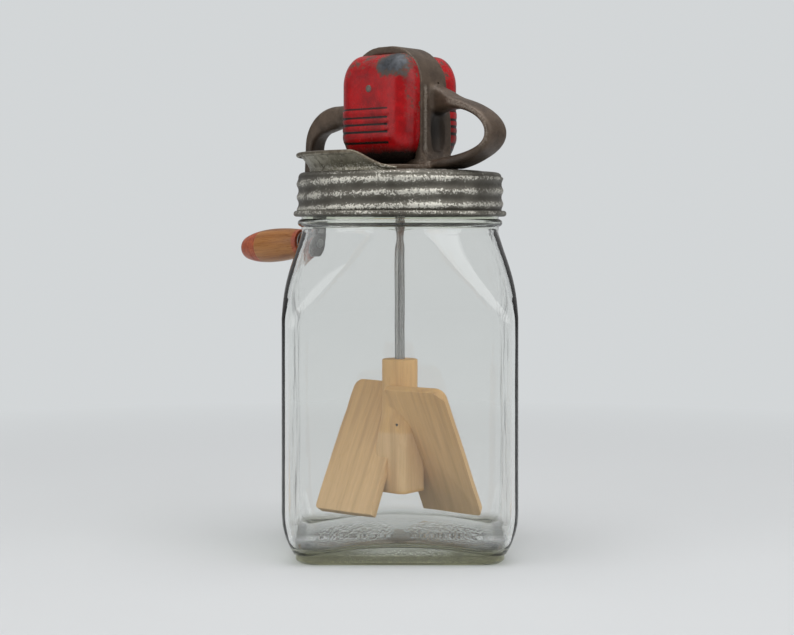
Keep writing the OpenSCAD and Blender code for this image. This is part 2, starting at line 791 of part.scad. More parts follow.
// Nails run level from just proud of the hub: one from the front and one from the back
module nails() {
    rotate([0, 0, -dasher_turn]) {
        translate([nail_x, -nail_high_y - nail_proud, nail_high_z]) rotate([-90, 0, 0])
            cylinder(h = nail_len, r = nail_r, $fn = 16);
        translate([nail_x, hub_w / 2 + nail_proud, nail_low_z]) rotate([90, 0, 0])
            cylinder(h = nail_len, r = nail_r, $fn = 16);
    }
}

module dasher_hub() {
    neck_r0 = hub_neck_d / 2;
    // The cone runs on a little inside the neck
    cone_in = 0.6;
    cone_h = (hub_cone_high - hub_cone_low) * (1 + cone_in / (hub_round_r - neck_r0));
    color("burlywood") difference() {
        union() {
            translate([0, 0, hub_cone_low]) cylinder(h = hub_top_z - hub_cone_low, r = neck_r0);
            intersection() {
                rotate([0, 0, -dasher_turn]) translate([-hub_w / 2, -hub_w / 2, hub_bottom_z])
                    cube([hub_w, hub_w, hub_cone_low + cone_h - hub_bottom_z]);
                union() {
                    translate([0, 0, hub_bottom_z])
                        cylinder(h = hub_cone_low - hub_bottom_z, r = hub_round_r);
                    translate([0, 0, hub_cone_low])
                        cylinder(h = cone_h, r1 = hub_round_r, r2 = neck_r0 - cone_in);
                }
            }
        }
        translate([0, 0, rod_end_z]) cylinder(h = jar_w, r = rod_r);
        for (a = [0, 180]) rotate([0, 0, a]) {
            board();
            nails();
        }
        rod_pins(hub_neck_d - 2);
    }
}

module hub_pin() {
    color("silver") translate([0, 0, hub_pin_z]) rotate([90, 0, 0])
        cylinder(h = hub_neck_d - 2, r = 1, center = true, $fn = 24);
}

module paddle_right() {
    color("wheat") difference() {
        board();
        nails();
    }
}

module paddle_left() {
    color("wheat") rotate([0, 0, 180]) difference() {
        board();
        nails();
    }
}

module paddle_nails() {
    color("dimgray") for (a = [0, 180]) rotate([0, 0, a]) nails();
}

jar();
lid_gasket();
lid();
strainer_screen();
spout();
frame();
frame_rivets();
front_cover();
back_cover();
cover_rivet();
crank_bush_left();
crank_bush_right();
crank_shaft();
drive_gear();
gear_pin();
shaft_collar();
collar_pin();
crank_arm();
arm_pin();
grip_pin();
grip_washer();
crank_grip();
rod_bush();
thrust_washer();
dasher_rod();
pinion();
pinion_pin();
rod_collar();
rod_collar_pin();
dasher_hub();
hub_pin();
paddle_right();
paddle_left();
paddle_nails();
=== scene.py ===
import json
import math
import bpy
from mathutils import Matrix, Vector, noise


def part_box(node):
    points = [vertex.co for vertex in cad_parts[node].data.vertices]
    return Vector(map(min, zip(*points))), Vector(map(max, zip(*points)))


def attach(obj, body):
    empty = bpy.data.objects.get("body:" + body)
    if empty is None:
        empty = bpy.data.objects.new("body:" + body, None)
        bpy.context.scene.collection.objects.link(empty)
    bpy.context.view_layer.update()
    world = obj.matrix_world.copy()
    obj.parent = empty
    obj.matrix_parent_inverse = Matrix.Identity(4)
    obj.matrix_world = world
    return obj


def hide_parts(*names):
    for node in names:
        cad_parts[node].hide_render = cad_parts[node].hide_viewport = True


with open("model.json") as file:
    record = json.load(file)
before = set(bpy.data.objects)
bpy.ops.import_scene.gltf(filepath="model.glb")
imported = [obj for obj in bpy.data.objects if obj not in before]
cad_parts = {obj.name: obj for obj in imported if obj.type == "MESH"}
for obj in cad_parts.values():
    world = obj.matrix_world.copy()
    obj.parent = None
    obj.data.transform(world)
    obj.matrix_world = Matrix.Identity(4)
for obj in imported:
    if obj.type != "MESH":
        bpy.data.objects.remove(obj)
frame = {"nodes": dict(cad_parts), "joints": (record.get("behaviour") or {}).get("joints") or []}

scene = bpy.context.scene
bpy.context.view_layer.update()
mm = 0.001
print("frame loaded:", len(frame["nodes"]), "nodes")

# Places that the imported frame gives, in millimetres
jarHigh = [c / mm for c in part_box("jar")[1]]
lidLow, lidHigh = [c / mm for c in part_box("lid")[0]], [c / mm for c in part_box("lid")[1]]
bandHigh = [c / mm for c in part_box("frame")[1]]
joints = {j["name"]: j for j in frame["joints"]}
shaftZ = joints["crank_turn"]["pos_m"][2] / mm
crankAxis = joints["crank_turn"]["axis"]
headTurn = math.atan2(-crankAxis[1], -crankAxis[0])  # the loop handle points along the head's own x
panelZ = lidHigh[2]
lidZ = panelZ - 1


# Small helpers for working as by hand
def clearPick():
    if bpy.context.mode != 'OBJECT':
        bpy.ops.object.mode_set(mode='OBJECT')
    bpy.ops.object.select_all(action='DESELECT')


def pick(*pieces):
    clearPick()
    for piece in pieces:
        piece.select_set(True)
    bpy.context.view_layer.objects.active = pieces[0]


def named(name):
    piece = bpy.context.object
    piece.name = name
    piece.data.name = name
    return piece


def settle(piece, turn=0):
    pick(piece)
    piece.rotation_euler.z += turn
    bpy.ops.object.transform_apply(location=True, rotation=True, scale=True)
    return piece


def applied(piece, kind, **settings):
    pick(piece)
    modifier = piece.modifiers.new(kind, kind)
    for key, value in settings.items():
        setattr(modifier, key, value)
    bpy.ops.object.modifier_apply(modifier=modifier.name)
    return piece


def carve(piece, cutter):
    applied(piece, 'BOOLEAN', operation='DIFFERENCE', object=cutter, solver='EXACT')
    bpy.data.objects.remove(cutter)
    return piece


def joined(name, *pieces):
    pick(*pieces)
    bpy.ops.object.join()
    return named(name)


# Opens a piece for editing with all of it picked
def openUp(piece):
    pick(piece)
    bpy.ops.object.mode_set(mode='EDIT')
    bpy.ops.mesh.select_all(action='SELECT')


# Closes seams and poles, then turns the faces outwards
def closeUp(piece):
    openUp(piece)
    bpy.ops.mesh.remove_doubles(threshold=0.02 * mm)
    bpy.ops.mesh.dissolve_degenerate(threshold=0.001 * mm)
    bpy.ops.mesh.normals_make_consistent(inside=False)
    bpy.ops.object.mode_set(mode='OBJECT')
    return piece


def capEnds(piece):
    openUp(piece)
    bpy.ops.mesh.fill_holes(sides=0)
    bpy.ops.mesh.normals_make_consistent(inside=False)
    bpy.ops.object.mode_set(mode='OBJECT')
    return piece


# Cuts away what lies beyond a plane
def cutOff(piece, spot, facing, fill):
    openUp(piece)
    bpy.ops.mesh.bisect(plane_co=Vector(spot) * mm, plane_no=facing, clear_outer=True, use_fill=fill)
    bpy.ops.object.mode_set(mode='OBJECT')


def softShade(piece, degrees):
    pick(piece)
    bpy.ops.object.shade_smooth_by_angle(angle=math.radians(degrees))
    return piece


# A grid drawn out over a surface: place(u, v) gives millimetres for u and v from 0 to 1
def drawn(name, across, along, place):
    clearPick()
    bpy.ops.mesh.primitive_grid_add(x_subdivisions=across, y_subdivisions=along, size=2)
    piece = named(name)
    for vert in piece.data.vertices:
        vert.co = Vector(place((vert.co.x + 1) / 2, (vert.co.y + 1) / 2)) * mm
    return closeUp(piece)


# Stores a value at each point of a piece for its finish to read
def mark(piece, name, value, kind='FLOAT'):
    layer = piece.data.attributes.new(name, kind, 'POINT')
    for vert in piece.data.vertices:
        result = value(vert.co / mm)
        if kind == 'FLOAT':
            layer.data[vert.index].value = result
        else:
            layer.data[vert.index].vector = result


def smooth(t):
    t = min(1, max(0, t))
    return t * t * (3 - 2 * t)


# Rises from 0 to 1 past low and falls back before high
def between(value, low, high, easeIn, easeOut):
    return smooth((value - low) / easeIn) * smooth((high - value) / easeOut)


# Distance from a spot, counted in its own reach along each axis
def awayFrom(p, spot, reach):
    return math.hypot(*[(c - m) / r for c, m, r in zip(p, spot, reach)])


def mixed(a, b, t):
    return a + (b - a) * t


# A point round the jar's axis
def atAngle(reach, angle, z):
    return reach * math.cos(angle), reach * math.sin(angle), z


# The angle of a column in a grid that closes round on itself
def turnAt(u, around):
    return 2 * math.pi * round(u * around) / around


# A point on a curve with four handles
def curvePoint(points, t):
    s = 1 - t
    weights = (s ** 3, 3 * t * s * s, 3 * t * t * s, t ** 3)
    return [sum(w * p[i] for w, p in zip(weights, points)) for i in range(2)]


# Node helpers
def newFinish(name):
    finish = bpy.data.materials.new(name)
    finish.use_nodes = True
    return finish, finish.node_tree, finish.node_tree.nodes["Principled BSDF"]


def node(tree, kind, sockets=None, **settings):
    made = tree.nodes.new(kind)
    for key, value in settings.items():
        setattr(made, key, value)
    for key, value in (sockets or {}).items():
        plug(tree, made.inputs[key], value)
    return made


def plug(tree, socket, value):
    if isinstance(value, bpy.types.NodeSocket):
        tree.links.new(value, socket)
    else:
        socket.default_value = value


def spots(tree, place, scale, detail=4, stretch=(1, 1, 1), rough=0.6, shift=(0, 0, 0)):
    mapping = node(tree, "ShaderNodeMapping", {"Vector": place, "Scale": stretch, "Location": shift})
    made = node(tree, "ShaderNodeTexNoise", {"Vector": mapping.outputs[0], "Scale": scale, "Detail": detail,
                                             "Roughness": rough})
    return made.outputs["Fac"]


def steps(tree, factor, *stops):
    made = node(tree, "ShaderNodeValToRGB", {"Fac": factor})
    ramp = made.color_ramp
    while len(ramp.elements) < len(stops):
        ramp.elements.new(1)
    for element, (position, tone) in zip(ramp.elements, stops):
        element.position = position
        element.color = (*tone, 1) if isinstance(tone, tuple) else (tone, tone, tone, 1)
    return made.outputs["Color"]


def blendTone(tree, factor, a, b, how='MIX'):
    made = node(tree, "ShaderNodeMix", data_type='RGBA', blend_type=how)
    for index, value in ((0, factor), (6, a), (7, b)):
        plug(tree, made.inputs[index], (*value, 1) if isinstance(value, tuple) else value)
    return made.outputs[2]


def sums(tree, how, a, b=0.0, clamp=False):
    made = node(tree, "ShaderNodeMath", operation=how, use_clamp=clamp)
    plug(tree, made.inputs[0], a)
    plug(tree, made.inputs[1], b)
    return made.outputs[0]


# One value and a part of another
def plusPart(tree, a, b, part):
    return sums(tree, 'ADD', a, sums(tree, 'MULTIPLY', b, part))


def raised(tree, height, strength, depth, over=None):
    made = node(tree, "ShaderNodeBump", {"Height": height, "Strength": strength, "Distance": depth})
    if over:
        tree.links.new(over, made.inputs["Normal"])
    return made.outputs[0]


def objectPlace(tree):
    return node(tree, "ShaderNodeTexCoord").outputs["Object"]


def marked(tree, name, output="Fac"):
    return node(tree, "ShaderNodeAttribute", attribute_name=name).outputs[output]


def heightOf(tree, place):
    return node(tree, "ShaderNodeSeparateXYZ", {0: place}).outputs[2]


def rangeTo(tree, value, low, high, lowTo=0.0, highTo=1.0):
    made = node(tree, "ShaderNodeMapRange", {"Value": value, "From Min": low, "From Max": high,
                                             "To Min": lowTo, "To Max": highTo})
    return made.outputs[0]


# Is 1 for rays that the camera sees, also through glass
def seenRays(tree):
    rays = node(tree, "ShaderNodeLightPath").outputs
    return sums(tree, 'ADD', rays["Is Camera Ray"], rays["Is Transmission Ray"], clamp=True)


# Gives a shader its tone, roughness, share of metal and bump
def coat(tree, shader, tone, rough, metal, bump):
    for key, value in (("Base Color", tone), ("Roughness", rough), ("Metallic", metal), ("Normal", bump)):
        plug(tree, shader.inputs[key], value)


# Finishes
glassLook = {"ior": 1.5, "clear": (0.935, 0.94, 0.93), "olive": (0.33, 0.32, 0.20),
             "speck": (0.19, 0.18, 0.11), "stipple": (0.34, 0.30, 0.21), "oliveFrom": 0.0125,
             "oliveTo": 0.0056, "neck": (0.84, 0.86, 0.78), "neckLow": (0.206, 0.213),
             "neckHigh": (0.234, 0.224), "wave": 0.02, "shade": (0.88, 0.90, 0.88, 1),
             "tint": (0.86, 0.92, 0.84, 1), "tintDepth": 2.5}


# Clear walls, an olive cast in the thick foot darkened as painted shade for the dark surroundings seen
# through it, stipple on the floor and a greenish neck
def jarGlass():
    finish, tree, shader = newFinish("jarGlass")
    place = objectPlace(tree)
    z = heightOf(tree, place)
    plug(tree, shader.inputs["IOR"], glassLook["ior"])
    plug(tree, shader.inputs["Transmission Weight"], 1.0)
    # The foot's olive tint is partly the glass's own colour and partly painted shade
    foot = rangeTo(tree, z, glassLook["oliveFrom"], glassLook["oliveTo"])
    grit = spots(tree, place, 620, detail=2)
    flecked = steps(tree, grit, (0.42, 0.0), (0.58, 1.0))
    olive = blendTone(tree, flecked, glassLook["olive"], glassLook["speck"])
    tone = blendTone(tree, foot, glassLook["clear"], olive)
    stipple = spots(tree, place, 720, detail=1, stretch=(1, 0.26, 1))
    pebble = marked(tree, "pebble")
    warm = sums(tree, 'MULTIPLY', pebble, steps(tree, stipple, (0.47, 0.0), (0.55, 0.9)))
    tone = blendTone(tree, warm, tone, glassLook["stipple"])
    low, high = rangeTo(tree, z, *glassLook["neckLow"]), rangeTo(tree, z, *glassLook["neckHigh"])
    tone = blendTone(tree, sums(tree, 'MULTIPLY', low, high), tone, glassLook["neck"], 'MULTIPLY')
    wave = raised(tree, spots(tree, place, 40, detail=1), glassLook["wave"], 0.01)
    wave = raised(tree, grit, sums(tree, 'MULTIPLY', foot, 0.3), 0.0008, wave)
    wave = raised(tree, stipple, pebble, 0.005, wave)
    coat(tree, shader, tone, 0.0, 0.0, wave)
    output = tree.nodes["Material Output"]
    lampRays = node(tree, "ShaderNodeLightPath").outputs["Is Shadow Ray"]
    clear = node(tree, "ShaderNodeBsdfTransparent", {"Color": glassLook["shade"]})
    both = node(tree, "ShaderNodeMixShader", {0: lampRays, 1: shader.outputs[0], 2: clear.outputs[0]})
    tree.links.new(both.outputs[0], output.inputs["Surface"])
    body = node(tree, "ShaderNodeVolumeAbsorption", {"Color": glassLook["tint"],
                                                     "Density": glassLook["tintDepth"]})
    tree.links.new(body.outputs[0], output.inputs["Volume"])
    return finish


# Old sheet or bar metal: mottled tone, stains in patches, fine scratches, a broken gloss, and where marked a
# painted highlight and painted shade
def oldMetal(name, dark, light, stain, stainAt, rough, metal, grain, dent=0.15, paintedShade=None):
    finish, tree, shader = newFinish(name)
    place = objectPlace(tree)
    broad = spots(tree, place, grain, detail=6, rough=0.65)
    fine = spots(tree, place, grain * 7, detail=3, rough=0.7)
    cloud = plusPart(tree, sums(tree, 'MULTIPLY', broad, 0.7), fine, 0.3)
    tone = steps(tree, cloud, (0.36, dark), (0.62, light))
    patches = steps(tree, spots(tree, place, grain * 0.45, detail=8, shift=(3, 1, 2)),
                    (stainAt, 0.0), (stainAt + 0.13, 1.0))
    tone = blendTone(tree, patches, tone, stain)
    if paintedShade:
        # Where marked, a painted highlight lightens the metal and painted shade darkens it
        paintedSheen = steps(tree, plusPart(tree, marked(tree, "rubAndSheen"), fine, 0.6), (0.70, 0.0), (1.0, 1.0))
        tone = blendTone(tree, paintedSheen, tone, (0.34, 0.29, 0.24))
        tone = blendTone(tree, marked(tree, "paintedShade"), tone, paintedShade)
    coat(tree, shader, tone, rangeTo(tree, cloud, 0.3, 0.7, rough[1], rough[0]), metal,
         raised(tree, sums(tree, 'ADD', fine, broad), dent, 0.0006))
    return finish


# Tin gone dull: painted shade darkens the valleys, and bright grains on the ridges are painted glints
def lidTin():
    finish, tree, shader = newFinish("lidTin")
    place = objectPlace(tree)
    broad = spots(tree, place, 60, detail=5)
    fine = spots(tree, place, 750, detail=3, rough=0.75)
    crest = marked(tree, "wearAndSheen")
    tone = blendTone(tree, rangeTo(tree, broad, 0.35, 0.65), (0.105, 0.096, 0.078), (0.21, 0.2, 0.168))
    tone = blendTone(tree, rangeTo(tree, crest, 0.0, 0.7, 0.6, 0.0), tone, (0.042, 0.038, 0.03))
    level = plusPart(tree, plusPart(tree, fine, crest, 0.26), broad, 0.5)
    paintedGlints = steps(tree, level, (0.93, 0.0), (1.05, 1.0))
    tone = blendTone(tree, paintedGlints, tone, (0.66, 0.64, 0.57))
    coat(tree, shader, tone, rangeTo(tree, fine, 0.3, 0.7, 0.55, 0.34), 0.6,
         raised(tree, sums(tree, 'ADD', fine, broad), 0.3, 0.0006))
    return finish


# The spout's tin: streaked and greenish, with a darker brown lip and a brighter foot
def spoutTin():
    finish, tree, shader = newFinish("spoutTin")
    place = objectPlace(tree)
    broad = spots(tree, place, 55, detail=5)
    streak = spots(tree, place, 230, detail=4, stretch=(1, 1, 0.4), shift=(1, 4, 2))
    fine = spots(tree, place, 800, detail=3, rough=0.75)
    tone = blendTone(tree, rangeTo(tree, broad, 0.35, 0.65), (0.17, 0.155, 0.112), (0.36, 0.335, 0.26))
    tone = blendTone(tree, steps(tree, streak, (0.50, 0.0), (0.64, 0.7)), tone, (0.075, 0.062, 0.042))
    tone = blendTone(tree, sums(tree, 'MULTIPLY', marked(tree, "lip"), 0.7), tone, (0.10, 0.075, 0.05))
    level = plusPart(tree, fine, marked(tree, "foot"), 0.12)
    tone = blendTone(tree, steps(tree, level, (0.60, 0.0), (0.72, 1.0)), tone, (0.55, 0.53, 0.45))
    coat(tree, shader, tone, rangeTo(tree, streak, 0.3, 0.7, 0.28, 0.52), 0.7,
         raised(tree, sums(tree, 'ADD', fine, streak), 0.2, 0.0005))
    return finish


# Paint colours, with a near black for painted shade and a pale pink for chalk and painted highlight
redLook = {"deep": (0.22, 0.002, 0.004), "bright": (0.45, 0.003, 0.006), "paintedShade": (0.010, 0.006, 0.005),
           "dull": (0.018, 0.021, 0.027), "bare": (0.10, 0.108, 0.12), "edge": (0.075, 0.048, 0.034),
           "bloomAndSheen": (0.46, 0.105, 0.10)}


# Baked red paint: chalky in places with a painted highlight, painted shade where marked, rubbed through to
# the metal where the piece is marked as worn
def redPaint():
    finish, tree, shader = newFinish("redPaint")
    place = objectPlace(tree)
    broad = spots(tree, place, 60, detail=4)
    cloud = spots(tree, place, 150, detail=6, rough=0.7, shift=(2, 2, 5))
    chips = spots(tree, place, 210, detail=8, rough=0.78)
    mottle = plusPart(tree, sums(tree, 'MULTIPLY', broad, 0.5), chips, 0.5)
    tone = blendTone(tree, rangeTo(tree, mottle, 0.40, 0.58), redLook["deep"], redLook["bright"])
    # The marked bloom is partly chalk and partly a painted highlight; the dark mark is painted shade
    bloomSheenLevel = plusPart(tree, marked(tree, "bloomAndSheen"), cloud, 0.7)
    tone = blendTone(tree, steps(tree, bloomSheenLevel, (0.54, 0.0), (1.0, 0.45)), tone, redLook["bloomAndSheen"])
    shadeLevel = plusPart(tree, marked(tree, "paintedShade"), cloud, 0.5)
    tone = blendTone(tree, steps(tree, shadeLevel, (0.42, 0.0), (0.95, 1.0)), tone, redLook["paintedShade"])
    worn = sums(tree, 'ADD', marked(tree, "wearAndSheen"), chips)
    rim = steps(tree, worn, (0.78, 0.0), (0.88, 1.0))
    bare = steps(tree, worn, (0.90, 0.0), (1.02, 1.0))
    tone = blendTone(tree, rim, tone, redLook["edge"])
    metalTone = blendTone(tree, rangeTo(tree, chips, 0.35, 0.65), redLook["dull"], redLook["bare"])
    tone = blendTone(tree, bare, tone, metalTone)
    gloss = plusPart(tree, rangeTo(tree, cloud, 0.3, 0.7, 0.17, 0.32), rim, 0.2)
    dents = plusPart(tree, sums(tree, 'MULTIPLY', broad, 0.5), rim, -0.2)
    coat(tree, shader, tone, gloss, sums(tree, 'MULTIPLY', bare, 0.5), raised(tree, dents, 0.2, 0.0012))
    plug(tree, shader.inputs["Specular IOR Level"], 0.32)
    return finish


# Wood whose fibres run along z of the place that is stored on the piece, warmed or painted where it is marked
def wood(name, pale, dark, streak, rough, warm=None, paint=None):
    finish, tree, shader = newFinish(name)
    place = marked(tree, "grain", "Vector")
    rings = spots(tree, place, 170, detail=3, stretch=(1, 1, 0.05))
    fibre = spots(tree, place, 1100, detail=3, stretch=(1, 1, 0.03), rough=0.7)
    flecks = spots(tree, place, 900, detail=2, stretch=(1, 1, 0.16), shift=(2, 5, 1))
    tone = steps(tree, rings, (0.32, dark), (0.5, pale), (0.68, streak))
    tone = blendTone(tree, steps(tree, fibre, (0.38, 0.42), (0.56, 0.0)), tone, dark)
    tone = blendTone(tree, steps(tree, flecks, (0.62, 0.0), (0.70, 0.55)), tone, dark)
    if warm:
        ringed = sums(tree, 'MULTIPLY', sums(tree, 'SUBTRACT', rings, 0.5), 0.8)
        warmth = sums(tree, 'ADD', marked(tree, "warmth"), ringed, clamp=True)
        tone = blendTone(tree, warmth, tone, warm, 'MULTIPLY')
    if paint:
        rub = spots(tree, objectPlace(tree), 420, detail=6, rough=0.7)
        painted = steps(tree, plusPart(tree, marked(tree, "red"), rub, 0.4), (0.58, 0.0), (0.78, 0.9))
        tone = blendTone(tree, painted, tone, blendTone(tree, rangeTo(tree, rub, 0.35, 0.65), *paint))
    coat(tree, shader, tone, rangeTo(tree, fibre, 0.3, 0.7, *rough), 0.0,
         raised(tree, plusPart(tree, fibre, rings, 0.5), 0.22, 0.0005))
    return finish


# The rod is drawn steel, streaked along, and rusts where it comes out of the lid
def rodSteel():
    finish, tree, shader = newFinish("rodSteel")
    place = objectPlace(tree)
    fine = spots(tree, place, 700, detail=3, stretch=(1, 1, 0.02))
    broad = spots(tree, place, 120, detail=5, stretch=(1, 1, 0.5))
    tone = blendTone(tree, rangeTo(tree, fine, 0.3, 0.7), (0.17, 0.167, 0.16), (0.46, 0.455, 0.445))
    rise = rangeTo(tree, heightOf(tree, place), 0.125, 0.215)
    rust = steps(tree, plusPart(tree, broad, rise, 0.32), (0.68, 0.0), (0.9, 0.7))
    tone = blendTone(tree, rust, tone, (0.16, 0.075, 0.035))
    coat(tree, shader, tone, rangeTo(tree, fine, 0.3, 0.7, 0.18, 0.36), 0.9,
         raised(tree, sums(tree, 'ADD', fine, rust), 0.15, 0.0004))
    return finish


finishes = {
    "glass": jarGlass(),
    "lidTin": lidTin(),
    "spoutTin": spoutTin(),
    "casting": oldMetal("casting", (0.056, 0.037, 0.024), (0.120, 0.083, 0.056), (0.085, 0.05, 0.028), 0.60,
                        (0.34, 0.52), 0.3, 110, 0.3, paintedShade=(0.014, 0.010, 0.007)),
    "rivet": oldMetal("rivet", (0.10, 0.085, 0.07), (0.21, 0.185, 0.16), (0.08, 0.045, 0.03), 0.6,
                      (0.45, 0.65), 0.4, 260, 0.3),
    "steel": oldMetal("steel", (0.20, 0.19, 0.175), (0.42, 0.41, 0.39), (0.13, 0.062, 0.03), 0.60,
                      (0.3, 0.5), 0.9, 160, 0.2),
    "brass": oldMetal("brass", (0.30, 0.20, 0.08), (0.52, 0.36, 0.15), (0.14, 0.085, 0.035), 0.58,
                      (0.3, 0.5), 0.9, 120, 0.15),
    "rubber": oldMetal("rubber", (0.025, 0.024, 0.023), (0.06, 0.057, 0.055), (0.09, 0.085, 0.08), 0.62,
                       (0.6, 0.8), 0.0, 200, 0.3),
    "red": redPaint(),
    "dasherWood": wood("dasherWood", (0.70, 0.46, 0.236), (0.555, 0.345, 0.165), (0.75, 0.512, 0.278),
                       (0.55, 0.75), warm=(0.94, 0.83, 0.60)),
    "gripWood": wood("gripWood", (0.37, 0.15, 0.036), (0.20, 0.07, 0.015), (0.44, 0.20, 0.056),
                     (0.24, 0.4), paint=((0.24, 0.030, 0.014), (0.46, 0.105, 0.038))),
    "rodSteel": rodSteel(),
    "nailIron": oldMetal("nailIron", (0.03, 0.026, 0.023), (0.075, 0.066, 0.06), (0.06, 0.032, 0.018), 0.55,
                         (0.45, 0.7), 0.5, 300, 0.3),
}
print("finishes made:", len(finishes))


def finished(piece, finish, body, slot, *nodes):
    piece.data.materials.clear()
    piece.data.materials.append(finishes[finish])
    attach(piece, body)
    if nodes:
        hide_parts(*nodes)
    return piece


# Glass jar: one closed skin, up the outside, over the rim and down the inside
jar = {"half": jarHigh[0], "corner": 12, "wall": 4, "slabTop": 6, "slabHalf": jarHigh[0] - 8,
       "slabRound": 2.2, "slabEase": 2.8, "heelTop": 32, "heelIn": 6.8, "shoulder": 151, "coneLow": 145,
       "neckZ": 207, "neckR": 64.2, "boreR": 61.4, "rimZ": jarHigh[2], "beadZ": 211, "beadR": 2.4,
       "beadTop": 215.4, "threadZ": 221, "threadEnds": (218, 236), "threadPitch": 8.5, "threadH": 0.9,
       "ripple": 0.16, "rippleEnds": (16, 205), "rippleAround": 3.2, "rippleTall": 24, "crease": 4.0,
       "flatCuts": 36, "cornerCuts": 24, "floorZ": 6.8, "dome": 11.5, "domeR": 80, "filletTop": 19,
       "filletIn": 0.13, "underDome": 0.8, "underR": 52, "pebbleAt": (31, -30), "pebbleReach": (27, 24),
       "pebbleZ": (6, 20)}


# Half width of the square body at a height
def jarHalf(z):
    if z >= jar["shoulder"]:
        lean = smooth(((z - jar["shoulder"]) / (jar["neckZ"] - jar["shoulder"])) ** 1.5)
        return jar["half"] - (jar["half"] - jar["neckR"]) * lean
    if z >= jar["heelTop"]:
        return jar["half"]
    if z > jar["slabTop"]:
        return jar["half"] - jar["heelIn"] * ((jar["heelTop"] - z) / (jar["heelTop"] - jar["slabTop"])) ** 2
    return jar["slabHalf"] - jar["slabRound"] * (1 - smooth(z / jar["slabEase"]) ** 0.6)


# How far a square with rounded corners reaches in a direction
def squareReach(angle, half, corner):
    c, s = abs(math.cos(angle)), abs(math.sin(angle))
    if min(c, s) / max(c, s) * half <= half - corner:
        return half / max(c, s)
    middle = half - corner
    along = middle * (c + s)
    return along + math.sqrt(along * along - 2 * middle * middle + corner * corner)


# The lesser of two reaches, with the crease between them eased
def softLess(a, b, k):
    near = max(k - abs(a - b), 0) / k
    return min(a, b) - near * near * k / 4


def coneReach(z):
    share = (z - jar["coneLow"]) / (jar["neckZ"] - jar["coneLow"])
    return mixed(jar["half"] * math.sqrt(2), jar["neckR"], share)


def jarReach(angle, z, inset):
    if z >= jar["neckZ"]:
        return jar["neckR"] if inset == 0 else jar["boreR"]
    reach = squareReach(angle, jarHalf(z) - inset, jar["corner"] - inset)
    reach = softLess(reach, max(coneReach(z) - inset, 1), jar["crease"])
    if inset and z > jar["neckZ"] - 17:
        reach = max(reach, jar["boreR"])
    return reach


def jarAngle(u):
    cuts = jar["flatCuts"] + jar["cornerCuts"]
    index = round(u * 4 * cuts) % (4 * cuts)
    quarter, step = divmod(index, cuts)
    middle = jar["half"] - jar["corner"]
    if step <= jar["flatCuts"]:
        angle = math.atan2(middle * (2 * step / jar["flatCuts"] - 1), jar["half"])
    else:
        turn = (step - jar["flatCuts"]) / jar["cornerCuts"] * math.pi / 2
        angle = math.atan2(middle + jar["corner"] * math.sin(turn), middle + jar["corner"] * math.cos(turn))
    return angle + quarter * math.pi / 2


def spread(low, high, count):
    return [mixed(low, high, i / count) for i in range(1, count + 1)]


# Each row is (part, height or angle of the rim, share of the reach)
rim = (jar["neckR"] - jar["boreR"]) / 2
outerZ = ([0, 0.4, 0.9, 1.5, 2.1, 2.8, 4.2, 5.8, 6] + [6.05, 7, 8.5, 10.5, 13, 16, 20, 25, 32]
          + spread(jar["heelTop"], jar["coneLow"], 14) + spread(jar["coneLow"], jar["neckZ"], 30)
          + spread(jar["neckZ"], jar["beadTop"], 30) + spread(jar["beadTop"], jar["rimZ"] - rim, 34))
neckIn = jar["neckZ"] + 0.1
innerZ = (spread(jar["rimZ"] - rim, neckIn, 10) + spread(neckIn, jar["coneLow"], 30)
          + spread(jar["coneLow"], jar["heelTop"], 14) + [29, 26, 23, 20, jar["filletTop"]])
jarRows = [("base", 1.2, i / 20) for i in range(18)] + [("base", 1.1, 0.88), ("base", 0.5, 0.94)]
jarRows += [("out", z, 1) for z in outerZ]
jarRows += [("rim", a, 1) for a in (30, 60, 90, 120, 150)]
jarRows += [("in", z, 1) for z in innerZ]
for i in range(1, 10):
    turn = math.radians(10 * i)
    jarRows.append(("floor", mixed(jar["filletTop"], jar["floorZ"], math.sin(turn)),
                    1 - jar["filletIn"] * (1 - math.cos(turn))))
floorShare = 1 - jar["filletIn"]
jarRows += [("floor", jar["floorZ"], floorShare * i / 36) for i in range(35, -1, -1)]


# The floor is pushed up in the middle
def pushedUp(away, rise, reach):
    return rise * max(0, 1 - (away / reach) ** 2)


# Two patches of stipple on the front half of the floor
def pebbleShare(x, y):
    return smooth((1.15 - awayFrom((abs(x), y), jar["pebbleAt"], jar["pebbleReach"])) / 0.5)


def jarPlace(u, v):
    part, z, share = jarRows[round(v * (len(jarRows) - 1))]
    angle = jarAngle(u)
    if part == "base":
        reach = jarReach(angle, 0, 0) * share
        z += pushedUp(reach, jar["underDome"], jar["underR"])
    elif part == "rim":
        turn = math.radians(z)
        reach = jar["boreR"] + rim + rim * math.cos(turn)
        z = jar["rimZ"] - rim + rim * math.sin(turn)
    elif part == "floor":
        reach = jarReach(angle, jar["filletTop"], jar["wall"]) * share
        depth = (jar["filletTop"] - z) / (jar["filletTop"] - jar["floorZ"])
        z += depth * pushedUp(reach, jar["dome"], jar["domeR"])
    else:
        reach = jarReach(angle, z, 0 if part == "out" else jar["wall"])
        if part == "out" and z > jar["neckZ"]:
            bead = jar["beadR"] ** 2 - (z - jar["beadZ"]) ** 2
            reach += math.sqrt(bead) if bead > 0 else 0
            wind = ((z - jar["threadZ"]) / jar["threadPitch"] - angle / (2 * math.pi) + 0.5) % 1 - 0.5
            reach += jar["threadH"] * between(z, *jar["threadEnds"], 3, 3) * max(0, 1 - (wind * 4.2) ** 2)
        if part == "in" and z < jar["neckZ"]:
            spot = Vector(atAngle(jar["rippleAround"], angle, z / jar["rippleTall"]))
            reach += jar["ripple"] * noise.noise(spot) * between(z, *jar["rippleEnds"], 20, 20)
    return atAngle(reach, angle, z)


